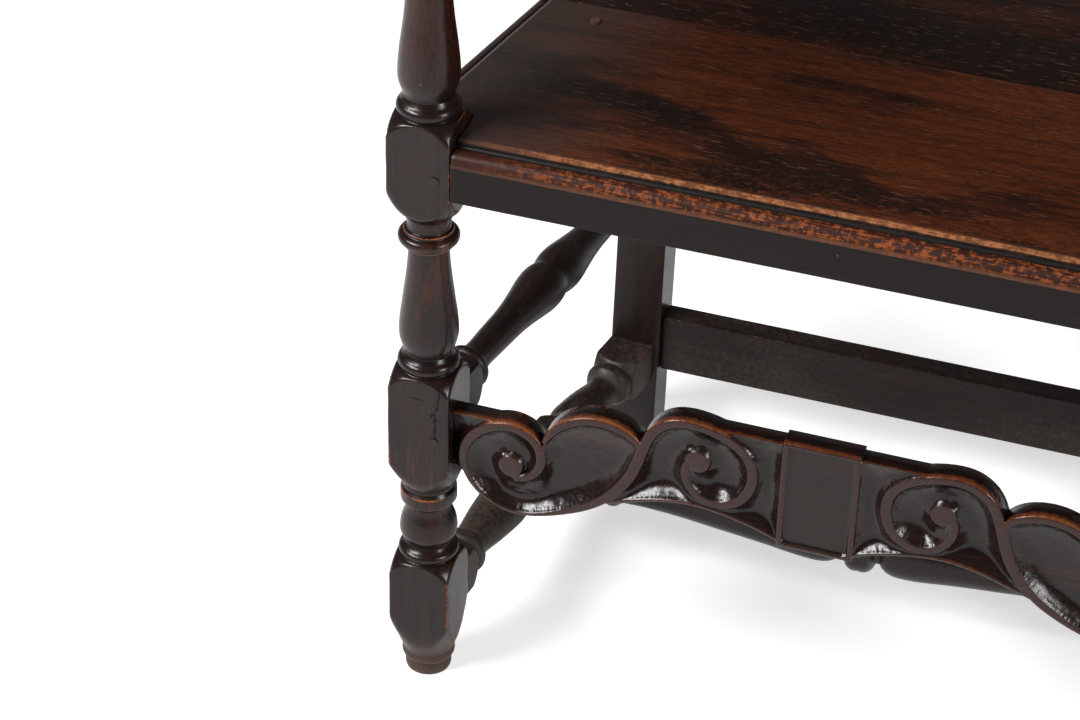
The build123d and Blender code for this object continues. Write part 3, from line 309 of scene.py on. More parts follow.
def worn_piece(node, material, seed, arris=0.9 * MM, grid=14 * MM, margins=(3 * MM, 7 * MM),
               dents=0.2 * MM):
    """Copy of a node with rounded arrises, cut into a grid fine enough for small dents."""
    bm = bmesh.new()
    bm.from_mesh(NODES[node].data)
    bmesh.ops.remove_doubles(bm, verts=bm.verts, dist=1e-6)
    bmesh.ops.dissolve_limit(bm, angle_limit=math.radians(0.4), verts=bm.verts, edges=bm.edges,
                             delimit={"NORMAL"})
    sharp = [e for e in bm.edges if len(e.link_faces) == 2 and e.calc_face_angle() > math.radians(28)]
    holes = small_loops(sharp, 13 * MM)
    for edge in holes:
        edge.smooth = False
    sharp = [edge for edge in sharp if edge not in holes]
    bmesh.ops.bevel(bm, geom=sharp, offset=arris, segments=3, profile=0.5, affect="EDGES",
                    clamp_overlap=True)
    bm.normal_update()
    for normal, offset in face_planes(bm, (12 * MM) ** 2):
        for margin in margins:
            cut(bm, normal * (offset - margin), normal)
    low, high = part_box(node)
    for axis in range(3):
        normal = Vector([float(axis == i) for i in range(3)])
        for place in np.arange(low[axis] + grid, high[axis] - grid / 2, grid):
            cut(bm, normal * place, normal)
    bmesh.ops.remove_doubles(bm, verts=bm.verts, dist=1e-5)
    bm.normal_update()
    points = np.array([v.co for v in bm.verts])
    depth = smooth_noise(points, 26 * MM, seed) + 0.5 * smooth_noise(points, 9 * MM, seed + 1)
    for vert, share in zip(bm.verts, dents * (1 + depth / 1.5) / 2):
        vert.co -= vert.normal * share
    mesh = bpy.data.meshes.new(f"{node}_worn")
    bm.to_mesh(mesh)
    bm.free()
    piece = bpy.data.objects.new(mesh.name, mesh)
    bpy.context.scene.collection.objects.link(piece)
    return finished(piece, material, node)


# ---------------------------------------------------------------------------------------------
# Materials
# ---------------------------------------------------------------------------------------------

class Nodes:
    """Short names for building a material's nodes."""

    def __init__(self, material):
        material.use_nodes = True
        self.tree = material.node_tree
        self.shader = self.tree.nodes["Principled BSDF"]

    def node(self, kind, **settings):
        node = self.tree.nodes.new(kind)
        for key, value in settings.items():
            setattr(node, key, value)
        return node

    def feed(self, socket, value):
        if hasattr(value, "is_linked"):
            self.tree.links.new(value, socket)
        else:
            socket.default_value = value

    def math(self, operation, a, b=0.0, c=None):
        node = self.node("ShaderNodeMath", operation=operation)
        self.feed(node.inputs[0], a)
        self.feed(node.inputs[1], b)
        if c is not None:
            self.feed(node.inputs[2], c)
        return node.outputs[0]

    def ramp(self, value, low, high):
        """0 at low to 1 at high, smooth."""
        node = self.node("ShaderNodeMapRange", interpolation_type="SMOOTHSTEP")
        self.feed(node.inputs["Value"], value)
        node.inputs["From Min"].default_value = low
        node.inputs["From Max"].default_value = high
        return node.outputs["Result"]

    def mix(self, share, a, b):
        node = self.node("ShaderNodeMix", data_type="RGBA")
        self.feed(node.inputs["Factor"], share)
        self.feed(node.inputs[6], a)
        self.feed(node.inputs[7], b)
        return node.outputs[2]

    def noise(self, vector, scale, detail=3.0, rough=0.55, warp=0.0):
        node = self.node("ShaderNodeTexNoise")
        self.feed(node.inputs["Vector"], vector)
        node.inputs["Scale"].default_value = scale
        node.inputs["Detail"].default_value = detail
        node.inputs["Roughness"].default_value = rough
        node.inputs["Distortion"].default_value = warp
        return node.outputs["Fac"]

    def stretched(self, vector, turn, stretch, shift):
        """Coordinates turned so that X runs along the grain and squeezed along it."""
        node = self.node("ShaderNodeMapping", vector_type="TEXTURE")
        self.feed(node.inputs["Vector"], vector)
        node.inputs["Rotation"].default_value = turn
        node.inputs["Scale"].default_value = (stretch, 1, 1)
        node.inputs["Location"].default_value = shift
        return node.outputs["Vector"]

    def attribute(self, name):
        return self.node("ShaderNodeAttribute", attribute_name=name).outputs["Fac"]


ALONG_X = (0.0, 0.0, 0.0)
ALONG_Y = (0.0, 0.0, math.radians(90))
ALONG_Z = (0.0, math.radians(-90), 0.0)

# Colours of the wood, from the waxed dirt of centuries to bare oak, and a painted shade for hollows
BLACK = (0.0075, 0.0048, 0.0042, 1)
BROWN = (0.0190, 0.0078, 0.0056, 1)
RUDDY = (0.0620, 0.0160, 0.0072, 1)
RUBBED = (0.1150, 0.0310, 0.0110, 1)
BARE = (0.2600, 0.0950, 0.0330, 1)
DUST = (0.0700, 0.0530, 0.0410, 1)
# Painted shade, laid into hollows and into the quirk of the seat's moulding
HOLLOW_SHADE = (0.0030, 0.0026, 0.0025, 1)
RIM = (0.0400, 0.0125, 0.0085, 1)


def oak(name, grain, seed, red=0.35, worn=0.5, dust=0.0, gloss=0.27, shine=0.32,
        tones=(BLACK, BROWN, RUDDY), relief=0.35, extra=None):
    """Waxed dark oak. red, worn and dust say how much of each shows; grain is a turn."""
    material = bpy.data.materials.new(name)
    n = Nodes(material)
    dark, brown, ruddy = tones
    place = n.node("ShaderNodeTexCoord").outputs["Object"]
    shift = (0.37 * seed, 0.23 * seed, 0.61 * seed)
    along = n.stretched(place, grain, 14.0, shift)
    broad = n.stretched(place, grain, 3.0, shift)
    fibres = n.noise(along, 900.0, 3.0, 0.6)
    bands = n.noise(along, 150.0, 4.0, 0.6, 0.6)
    patches = n.noise(broad, 16.0, 3.0, 0.55, 0.4)
    small = n.noise(place, 260.0, 3.0, 0.6)
    figure = n.math("MULTIPLY_ADD", bands, 0.5, n.math("MULTIPLY", fibres, 0.5))

    tone = n.ramp(figure, 0.38, 0.64)
    colour = n.mix(tone, dark, brown)
    red_share = n.math("MULTIPLY_ADD", patches, 1.0, n.math("MULTIPLY", figure, 0.45))
    reddish = n.ramp(red_share, 1.02 - 0.5 * red, 1.20 - 0.5 * red)
    colour = n.mix(reddish, colour, n.mix(tone, brown, ruddy))
    hollow = n.attribute("hollow")
    rough = n.math("MULTIPLY_ADD", patches, 0.16, gloss - 0.08)
    rough = n.math("MULTIPLY_ADD", small, 0.10, rough)
    cover = n.math("MULTIPLY_ADD", n.math("SUBTRACT", small, 0.5), 1.5, n.attribute("wear"))
    cover = n.math("MULTIPLY_ADD", n.math("SUBTRACT", patches, 0.5), 2.6, cover)
    rubbed = n.ramp(cover, 1.10 - 0.6 * worn, 1.35 - 0.6 * worn)
    bare = n.ramp(cover, 1.45 - 0.6 * worn, 1.70 - 0.6 * worn)
    colour = n.mix(rubbed, colour, RUBBED)
    colour = n.mix(bare, colour, BARE)
    # Painted shade: the hollows are darkened
    colour = n.mix(n.math("MULTIPLY", hollow, 0.7), colour, HOLLOW_SHADE)
    if extra:
        colour, rough = extra(n, place, colour, rough, small, fibres, patches)
    if dust:
        film = n.math("MULTIPLY_ADD", small, 0.5, n.math("MULTIPLY", patches, 0.7))
        film = n.math("ADD", film, n.math("MULTIPLY", hollow, 0.25))
        dusty = n.ramp(film, 0.80 - 0.4 * dust, 1.15 - 0.4 * dust)
        colour = n.mix(n.math("MULTIPLY", dusty, 0.7), colour, DUST)
        rough = n.math("MULTIPLY_ADD", dusty, 0.3, rough)
    specks = n.node("ShaderNodeTexVoronoi", feature="F1")
    n.feed(specks.inputs["Vector"], place)
    specks.inputs["Scale"].default_value = 70.0
    chance = n.node("ShaderNodeSeparateColor")
    n.feed(chance.inputs[0], specks.outputs["Color"])
    dot = n.math("LESS_THAN", specks.outputs["Distance"], 0.035)
    rare = n.math("GREATER_THAN", chance.outputs[0], 0.93)
    colour = n.mix(n.math("MULTIPLY", n.math("MULTIPLY", dot, rare), 0.55), colour,
                   (0.28, 0.25, 0.22, 1))
    n.feed(n.shader.inputs["Base Color"], colour)
    n.feed(n.shader.inputs["Roughness"], n.math("MINIMUM", rough, 0.9))
    n.shader.inputs["Specular IOR Level"].default_value = shine
    bumps = n.math("MULTIPLY_ADD", fibres, 0.25, n.math("MULTIPLY", small, 0.5))
    bumps = n.math("MULTIPLY_ADD", bands, 0.5, bumps)
    bump = n.node("ShaderNodeBump")
    bump.inputs["Strength"].default_value = 0.5
    bump.inputs["Distance"].default_value = relief * MM
    n.feed(bump.inputs["Height"], bumps)
    n.feed(n.shader.inputs["Normal"], bump.outputs["Normal"])
    return material


# ---------------------------------------------------------------------------------------------
# The chair
# ---------------------------------------------------------------------------------------------

UP = Vector((0, 0, 1))
BACK_WARD = Vector((0, 1, 0))


def middle(node):
    low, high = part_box(node)
    return (low + high) / 2


def post_axis(side_name, height):
    """Point on a front post's axis."""
    at = middle(f"front_post_{side_name}")
    return Vector((at.x, at.y, height))


def rear_middle(side_name, height):
    """Middle of a rear post at a height, found from its front and back faces."""
    tree = node_tree(f"rear_post_{side_name}")
    x = middle(f"rear_post_{side_name}").x + 10 * MM     # beside the tenons and pegs
    front = tree.ray_cast(Vector((x, -1, height)), BACK_WARD)[0]
    back = tree.ray_cast(Vector((x, 1, height)), -BACK_WARD)[0]
    return Vector((middle(f"rear_post_{side_name}").x, (front.y + back.y) / 2, height))


CRACKS = [(-6.5, 258.5, 6.4, 257.0, 0.5), (16.0, 268.1, 14.6, 256.1, 0.9), (14.6, 256.1, 13.5, 250.1, 0.9),
          (13.5, 250.1, 8.5, 243.4, 0.7), (13.1, 247.9, 12.8, 218.2, 0.7)]


def crack(n, across, height, small, x1, z1, x2, z2, wide):
    """1 on a ragged line between two points of the face; millimetres."""
    length = math.hypot(x2 - x1, z2 - z1)
    ux, uz = (x2 - x1) / length, (z2 - z1) / length
    dx, dz = n.math("SUBTRACT", across, x1), n.math("SUBTRACT", height, z1)
    run = n.math("MULTIPLY_ADD", dx, ux, n.math("MULTIPLY", dz, uz))
    off = n.math("MULTIPLY_ADD", dx, -uz, n.math("MULTIPLY", dz, ux))
    off = n.math("ABSOLUTE", n.math("MULTIPLY_ADD", n.math("SUBTRACT", small, 0.5), 5.0, off))
    beyond = n.math("ABSOLUTE", n.math("SUBTRACT", run, length / 2))
    inside = n.math("SUBTRACT", 1.0, n.ramp(beyond, length / 2 - 2.5, length / 2 + 0.8))
    width = n.math("MULTIPLY", inside, wide)
    return n.ramp(n.math("SUBTRACT", width, off), -0.25, 0.05)


def post_looks(cracks):
    """Brown dirt on the foot, worn red high on the balusters and, on one post, cracks."""
    def looks(n, place, colour, rough, small, fibres, patches):
        apart = n.node("ShaderNodeSeparateXYZ")
        n.feed(apart.inputs[0], place)
        height = n.math("MULTIPLY_ADD", small, 30 * MM, apart.outputs["Z"])
        low = n.ramp(n.math("MULTIPLY", height, -1.0), -62 * MM, -28 * MM)
        colour = n.mix(n.math("MULTIPLY", low, 0.8), colour, (0.0660, 0.0390, 0.0260, 1))
        high = n.math("MULTIPLY", n.ramp(height, 500 * MM, 560 * MM), n.ramp(fibres, 0.35, 0.65))
        colour = n.mix(n.math("MULTIPLY", high, 0.7), colour, (0.0500, 0.0110, 0.0052, 1))
        rough = n.math("MULTIPLY_ADD", low, 0.25, rough)
        if cracks:
            across = n.math("MULTIPLY_ADD", apart.outputs["X"], 1000.0, -1000 * post_axis("left", 0).x)
            up = n.math("MULTIPLY", apart.outputs["Z"], 1000.0)
            front = n.math("LESS_THAN", apart.outputs["Y"], post_axis("left", 0).y - 20 * MM)
            for line in cracks:
                share = n.math("MULTIPLY", crack(n, across, up, small, *line), front)
                colour = n.mix(share, colour, (0.0008, 0.0007, 0.0007, 1))
                rough = n.math("MULTIPLY_ADD", share, 0.6, rough)
        return colour, rough
    return looks


def front_posts():
    for name in SIDES:
        node = f"front_post_{name}"
        low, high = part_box(node)
        material = oak(f"oak_{node}", ALONG_Z, 3 + SIDES[name], red=0.52, worn=0.62, gloss=0.20, shine=0.29,
                       extra=post_looks(CRACKS if name == "left" else []))
        turned_piece(node, material, post_axis(name, low.z), UP, Vector((1, 0, 0)),
                     high.z - low.z, high.x - low.x, 11 + SIDES[name])


def side_stretchers():
    for name in SIDES:
        for level, dust in (("upper", 0.35), ("lower", 0.9)):
            node = f"{level}_side_stretcher_{name}"
            low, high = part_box(node)
            height = (low.z + high.z) / 2
            start, end = post_axis(name, height), rear_middle(name, height)
            along = (end - start).normalized()
            half_post = (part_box(f"front_post_{name}")[1].x - post_axis(name, 0).x)
            inset = start + along * (half_post - 3 * MM)
            material = oak(f"oak_{node}", ALONG_Y, 7 + SIDES[name] + len(level), red=0.2, worn=0.35,
                           dust=dust, gloss=0.34)
            turned_piece(node, material, inset, along, UP,
                         (end - inset).length - 13 * MM, high.z - low.z, 31 + SIDES[name] + int(dust * 10))


def medial_stretcher():
    node = "medial_stretcher"
    low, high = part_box(node)
    at = middle(node)
    material = oak(f"oak_{node}", ALONG_X, 21, red=0.2, worn=0.4, dust=0.5)
    turned_piece(node, material, Vector((low.x + 8 * MM, at.y, at.z)), Vector((1, 0, 0)), UP,
                 high.x - low.x - 16 * MM, high.y - low.y + 2 * MM, 41)


# Darker tones of the front seat rail: painted shade from the seat's overhang
RAIL_TONES = ((0.0062, 0.0046, 0.0042, 1), (0.0120, 0.0066, 0.0056, 1), (0.0300, 0.0100, 0.0064, 1))
SAWN = {                           # node: grain, material slot and how it is worn
    "front_seat_rail": (ALONG_X, "frame_oak", dict(red=0.0, worn=0.3, shine=0.16, gloss=0.36,
                                                     tones=RAIL_TONES)),
    "rear_seat_rail": (ALONG_X, "frame_oak", dict(red=0.15, worn=0.3, dust=0.4)),
    "side_seat_rail_left": (ALONG_Y, "frame_oak", dict(red=0.15, worn=0.35)),
    "side_seat_rail_right": (ALONG_Y, "frame_oak", dict(red=0.15, worn=0.35)),
    "seat_batten": (ALONG_X, "frame_oak", dict(red=0.1, worn=0.2, dust=0.5)),
    "rear_stretcher": (ALONG_X, "frame_oak", dict(red=0.1, worn=0.3, dust=0.7)),
    "rear_post_left": (ALONG_Z, "frame_oak", dict(red=0.15, worn=0.4, dust=0.35)),
    "rear_post_right": (ALONG_Z, "frame_oak", dict(red=0.15, worn=0.4, dust=0.35)),
    "back_lower_rail": (ALONG_X, "frame_oak", dict(red=0.3, worn=0.45)),
    "back_top_rail": (ALONG_X, "frame_oak", dict(red=0.3, worn=0.45)),
    "back_muntin": (ALONG_Z, "frame_oak", dict(red=0.3, worn=0.45)),
    "back_crest": (ALONG_X, "carved_oak", dict(red=0.4, worn=0.55)),
    "back_panel_left": (ALONG_Z, "panel_oak", dict(red=0.45, worn=0.4)),
    "back_panel_right": (ALONG_Z, "panel_oak", dict(red=0.45, worn=0.4)),
    "arm_left": (ALONG_Y, "arm_oak", dict(red=0.6, worn=0.6)),
    "arm_right": (ALONG_Y, "arm_oak", dict(red=0.6, worn=0.6)),
}


def sawn_pieces():
    for seed, (node, (grain, slot, looks)) in enumerate(SAWN.items()):
        worn_piece(node, oak(f"oak_{node}", grain, 50 + seed, **looks), 100 + 3 * seed)


SEAT_TONES = ((0.0165, 0.0056, 0.0036, 1), (0.0480, 0.0122, 0.0050, 1), (0.1100, 0.0270, 0.0080, 1))
# The rear board's darker tones: wood less worn, with painted shade from the chair's back
REAR_TONES = ((0.0105, 0.0048, 0.0040, 1), (0.0230, 0.0078, 0.0050, 1), (0.0500, 0.0135, 0.0060, 1))


def smudged(n, place, colour, rough, small, fibres, patches):
    """Black smudges of old wax and short light scratches along the grain."""
    clear = n.ramp(patches, 0.38, 0.54)
    colour = n.mix(n.math("MULTIPLY_ADD", clear, -0.75, 0.75), colour, (0.0100, 0.0066, 0.0058, 1))
    fine = n.stretched(place, ALONG_X, 8.0, (0.5, 0.1, 0.3))
    pores = n.ramp(n.noise(fine, 1500.0, 2.0, 0.6), 0.36, 0.50)
    colour = n.mix(n.math("MULTIPLY_ADD", pores, -0.5, 0.5), colour, (0.0060, 0.0038, 0.0034, 1))
    scratch = n.ramp(n.noise(fine, 700.0, 2.0, 0.5), 0.63, 0.69)
    return n.mix(n.math("MULTIPLY", scratch, 0.7), colour, (0.1200, 0.0560, 0.0340, 1)), rough


def seat_edge(n, place, colour, rough, small, fibres, patches):
    """Wear of the moulded front edge: worn fillet, quirk blackened with painted shade, speckled ovolo and brown lip.
    """
    low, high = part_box("seat_board_front")
    apart = n.node("ShaderNodeSeparateXYZ")
    n.feed(apart.inputs[0], place)
    behind = n.math("MULTIPLY", n.math("SUBTRACT", apart.outputs["Y"], low.y), 1000.0)
    aside = n.math("MULTIPLY", n.math("ABSOLUTE", apart.outputs["X"]), 1000.0)
    grainy = n.math("MULTIPLY_ADD", fibres, 0.45, n.math("MULTIPLY", small, 0.55))
    inner = n.ramp(n.math("MULTIPLY_ADD", small, -40.0, n.math("MULTIPLY", aside, -1.0)),
                   -(high.x * 1000 - 20), -(high.x * 1000 - 130))
    ragged = n.math("MULTIPLY_ADD", grainy, 5.0, behind)
    colour, rough = smudged(n, place, colour, rough, small, fibres, patches)
    # Towards both ends the seat turns dark grey: dark from dirt near the posts, lifted by a painted grey sheen
    dirt_and_sheen = n.ramp(n.math("MULTIPLY_ADD", patches, 200.0, aside), 240.0, 370.0)
    colour = n.mix(n.math("MULTIPLY", dirt_and_sheen, 0.75), colour, (0.0340, 0.0275, 0.0255, 1))

    rub = n.math("MULTIPLY", n.ramp(n.math("MULTIPLY", behind, -1.0), -60.0, -20.0),
                 n.ramp(grainy, 0.50, 0.60))
    colour = n.mix(n.math("MULTIPLY", n.math("MULTIPLY", rub, inner), 0.6), colour, RUBBED)
    fillet = n.math("MULTIPLY", n.ramp(ragged, 15.6, 17.2),
                    n.math("SUBTRACT", 1.0, n.ramp(ragged, 20.0, 21.6)))
    worn_fillet = n.mix(n.ramp(grainy, 0.42, 0.58), (0.1300, 0.0420, 0.0160, 1), (0.3300, 0.1280, 0.0480, 1))
    colour = n.mix(n.math("MULTIPLY", fillet, inner), colour, worn_fillet)
    # Painted shade: the quirk, a narrow groove, is blackened
    quirk = n.math("MULTIPLY", n.ramp(behind, 9.2, 10.2), n.math("SUBTRACT", 1.0, n.ramp(behind, 13.6, 14.6)))
    colour = n.mix(n.math("MULTIPLY", quirk, 0.9), colour, HOLLOW_SHADE)
    ovolo = n.math("SUBTRACT", 1.0, n.ramp(behind, 9.0, 10.0))
    colour = n.mix(n.math("MULTIPLY", ovolo, 0.85), colour, (0.0280, 0.0058, 0.0030, 1))
    speckled = n.math("MULTIPLY", n.ramp(grainy, 0.47, 0.60), n.math("MULTIPLY", ovolo, inner))
    colour = n.mix(speckled, colour, (0.2400, 0.0580, 0.0120, 1))
    lip = n.math("SUBTRACT", 1.0, n.ramp(behind, 1.2, 1.8))
    lip_share = n.math("MULTIPLY", lip, n.math("MULTIPLY_ADD", inner, 0.55, 0.15))
    colour = n.mix(lip_share, colour, (0.1050, 0.0420, 0.0210, 1))
    dull = n.math("SUBTRACT", 1.0, n.ramp(behind, 19.0, 24.0))
    return colour, n.math("MULTIPLY_ADD", n.math("MULTIPLY", dull, inner), 0.25, rough)


def seat_boards():
    for seed, (node, tones, red, extra) in enumerate((("seat_board_front", SEAT_TONES, 0.9, seat_edge),
                                                      ("seat_board_rear", REAR_TONES, 0.6, smudged))):
        material = oak(f"oak_{node}", ALONG_X, 80 + seed, red=red, worn=0.1, gloss=0.30, shine=0.22,
                       tones=tones, extra=extra)
        worn_piece(node, material, 200 + 5 * seed, arris=0.35 * MM, grid=20 * MM)


# ---------------------------------------------------------------------------------------------
# Carved front stretcher: a relief drawn over the outlines of its node
# ---------------------------------------------------------------------------------------------

CARVED = "carved_front_stretcher"
EYES = [(67.0, 212.0), (202.0, 251.5)]       # millimetres from the post's axis and from the floor
EYE_RADIUS = 8.6 * MM
EYE_WALL = 4.4 * MM               # depth of the ground round an eye
RIM_WALL = 1.0 * MM               # depth of the ground beside a rim
SCOOP = 13.0 * MM                 # greatest depth of the ground
SCOOP_REACH = 20 * MM             # distance from the rim at which it is reached
SINK = 10.0 * MM                  # how far the ground sinks under the rim above it
SINK_REACH = 22 * MM
TABLET_HALF = 23.6 * MM
TABLET_FIELD = 3.0 * MM
TABLET_SIDE = 3.0 * MM            # depth of the ground beside the tablet
ARRIS = 2.2 * MM                  # rounding of the board's front arrises
SPACING = 0.8 * MM                # of points along the outlines
GRID = 1.25 * MM                  # of points between them


def plane_loops(bm, place, way):
    """Outlines of the faces in one plane of constant Y, each as an ordered row of X and Z."""
    flat = {f for f in bm.faces if f.normal.y * way > 0.99 and abs(f.verts[0].co.y - place) < 0.05 * MM}
    after = {}
    for face in flat:
        for loop in face.loops:
            if not any(other is not face and other in flat for other in loop.edge.link_faces):
                after.setdefault(loop.vert, []).append(loop.link_loop_next.vert)
    loops = []
    while after:
        here, chain = next(iter(after)), []
        while here in after:
            chain.append((here.co.x, here.co.z))
            ahead = after[here].pop()
            if not after[here]:
                del after[here]
            here = ahead
        loops.append(np.array(chain))
    return loops


def resampled(loop, spacing):
    """Closed loop with its points about one spacing apart; its corners are kept."""
    before, after = np.roll(loop, 1, axis=0) - loop, np.roll(loop, -1, axis=0) - loop
    turn = (before * after).sum(1) / (np.linalg.norm(before, axis=1) * np.linalg.norm(after, axis=1))
    kept = [loop[0]]
    for point, cosine in zip(loop[1:], turn[1:]):
        if cosine > -0.9 or np.linalg.norm(point - kept[-1]) > 0.45 * spacing:
            kept.append(point)
    kept = np.array(kept)
    out = []
    for a, b in zip(kept, np.roll(kept, -1, axis=0)):
        count = max(1, round(np.linalg.norm(b - a) / spacing))
        out += [a + (b - a) * i / count for i in range(count)]
    return np.array(out)


def outward(loop):
    """Unit normals of a loop, to the right of its direction."""
    along = np.roll(loop, -1, axis=0) - np.roll(loop, 1, axis=0)
    along /= np.maximum(np.linalg.norm(along, axis=1), 1e-9)[:, None]
    return np.stack([along[:, 1], -along[:, 0]], axis=1)


def tree_of(points):
    tree = KDTree(len(points))
    for i, (x, z) in enumerate(points):
        tree.insert((x, z, 0), i)
    tree.balance()
    return tree


def distances(tree, points):
    return np.array([tree.find((x, z, 0))[2] for x, z in points])


def clear_of(tree, points, gap):
    return points[distances(tree, points) > gap] if len(points) else points


def front_hits(tree, points, start):
    """Y of the node's front at each X and Z; not a number beside the node."""
    ahead = Vector((0, 1, 0))
    hits = [tree.ray_cast(Vector((x, start, z)), ahead, 0.05)[0] for x, z in points]
    return np.array([np.nan if hit is None else hit.y for hit in hits])


def relaxed(values, ends, held, rounds):
    """Values at points evened out over the edges between them, except where they are held."""
    a, b = ends
    count = np.bincount(a, minlength=len(values)) + np.bincount(b, minlength=len(values))
    for _ in range(rounds):
        total = (np.bincount(a, values[b], len(values)) + np.bincount(b, values[a], len(values)))
        values = np.where(held, values, 0.4 * values + 0.6 * total / np.maximum(count, 1))
    return values


def rim_above(tree, points, front):
    """Distance from each point of the ground up to the rim or the edge of the board over it."""
    nearest = np.full(len(points), 0.08)
    for depth in (3 * MM, 12 * MM):
        for i, (x, z) in enumerate(points):
            hit = tree.ray_cast(Vector((x, front + depth, z)), UP, 0.08)[3]
            if hit is not None:
                nearest[i] = min(nearest[i], hit)
    return nearest


def carved_depth(points, ends, raised, from_line, from_rim, from_outline, above, seed):
    """How far the carving lies behind the front of the rims."""
    spots = np.stack([points[:, 0], np.zeros(len(points)), points[:, 1]], axis=1)
    outer = np.clip(1 - from_outline / ARRIS, 0, 1)
    rounded = ARRIS * (1 - np.sqrt(1 - outer ** 2))
    inner = np.clip(1 - from_line / (0.9 * MM), 0, 1)
    rim = rounded + 0.30 * MM * inner ** 2 + 0.10 * MM * (1 + smooth_noise(spots, 12 * MM, seed))
    scoop = (SCOOP - RIM_WALL) * (1 - (1 - np.clip(from_rim / SCOOP_REACH, 0, 1)) ** 2.3)
    sink = 0.8 * MM + SINK * (1 - np.exp(-above / SINK_REACH))
    beside = TABLET_SIDE + 0.22 * (np.abs(points[:, 0]) - TABLET_HALF).clip(0)
    ground = least(least(scoop, sink, 2.5 * MM), beside, 2 * MM).clip(0)
    for x, z in EYES:
        for side in SIDES.values():
            middle_x = side * ((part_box("front_post_right")[0].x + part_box("front_post_right")[1].x) / 2 - x * MM)
            off = points - np.array([middle_x, z * MM])
            length = np.maximum(np.linalg.norm(off, axis=1), 1e-6)
            away = length - EYE_RADIUS
            toward = (off[:, 1] - side * off[:, 0]) / (length * math.sqrt(2))
            near = (1 - step(away, 1.5 * MM, 9 * MM)) * step(toward, -0.25, 0.6)
            ground = np.maximum(ground, EYE_WALL * near)
            rim += 0.35 * MM * step(away, -6 * MM, 0) * (away < 0.3 * MM)
    ground = relaxed(ground, ends, raised, 14)
    ground = ground + RIM_WALL * step(from_line, 0, 0.8 * MM)
    ground += 0.20 * MM * smooth_noise(spots, 6 * MM, seed + 1) + 0.08 * MM * smooth_noise(spots, 2.5 * MM, seed + 2)
    tablet = np.abs(points[:, 0]) < TABLET_HALF
    ground = np.where(tablet, TABLET_FIELD * step(from_line, 0, 0.8 * MM), ground)
    return np.where(raised, rim, np.maximum(ground, np.where(from_outline < ARRIS, rounded, 0)))


CARVED_TONES = ((0.0056, 0.0034, 0.0030, 1), (0.0175, 0.0062, 0.0045, 1), (0.0520, 0.0125, 0.0060, 1))


def carving_looks(n, place, colour, rough, small, fibres, patches):
    """Flat brown rims, and arrises rubbed orange where they face up."""
    rim = n.attribute("rim")
    streaks = n.ramp(n.math("MULTIPLY_ADD", fibres, 0.6, n.math("MULTIPLY", small, 0.4)), 0.40, 0.62)
    brown = n.mix(streaks, (0.0240, 0.0095, 0.0075, 1), RIM)
    colour = n.mix(n.math("MULTIPLY", rim, 0.85), colour, brown)
    rub = n.math("MULTIPLY_ADD", n.math("SUBTRACT", patches, 0.5), 1.6, n.attribute("rub"))
    rub = n.math("MULTIPLY_ADD", n.math("SUBTRACT", small, 0.5), 1.0, rub)
    colour = n.mix(n.ramp(rub, 0.30, 0.75), colour, (0.0850, 0.0220, 0.0085, 1))
    colour = n.mix(n.math("MULTIPLY", n.ramp(rub, 0.85, 1.20), 0.8), colour, (0.2000, 0.0700, 0.0240, 1))
    marks = n.ramp(n.noise(place, 520.0, 2.0, 0.6), 0.42, 0.66)
    rough = n.math("MULTIPLY_ADD", marks, 0.10, rough)
    return colour, n.math("MULTIPLY_ADD", rim, 0.06, rough)


def carved_mesh_points(tree, outlines, rims, outline_tree, front):
    """Points and fixed edges of the relief's front: outlines, rims, rings beside them and a grid."""
    points, edges = [], []
    for loop in outlines:
        first = len(points)
        points += list(loop)
        edges += [(first + i, first + (i + 1) % len(loop)) for i in range(len(loop))]
    rings = []
    for loop in rims:
        free = distances(outline_tree, loop) > 0.5 * MM
        places = {}
        for i in np.flatnonzero(free):
            places[i] = len(points)
            points.append(loop[i])
        edges += [(places[i], places[(i + 1) % len(loop)]) for i in places if (i + 1) % len(loop) in places]
        rings += [(loop + outward(loop) * (way * 0.6 * MM))[free] for way in (-1, 1)]
    line_tree = tree_of(points)
    rings = [clear_of(line_tree, np.concatenate(rings), 0.45 * MM)]
    for gap in (0.25 * MM, 0.65 * MM, 1.2 * MM):
        beside = np.concatenate([loop + outward(loop) * (way * gap) for loop in outlines for way in (-1, 1)])
        rings.append(clear_of(line_tree, beside, 0.92 * gap))
    rings = np.concatenate(rings)
    rings = rings[~np.isnan(front_hits(tree, rings, front - 0.01))]
    low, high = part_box(CARVED)
    across = np.arange(low.x, high.x, GRID)
    grid = np.concatenate([np.stack([across + (i % 2) * GRID / 2, np.full(len(across), z)], axis=1)
                           for i, z in enumerate(np.arange(low.z, high.z, GRID * 0.866))])
    grid = grid[np.abs(grid[:, 0]) < max(np.abs(loop[:, 0]).max() for loop in outlines)]
    grid = grid[~np.isnan(front_hits(tree, grid, front - 0.01))]
    grid = clear_of(tree_of(list(points) + list(rings)), grid, 0.62 * GRID)
    return points, edges, [Vector(p) for p in points] + [Vector(p) for p in rings] + [Vector(p) for p in grid]


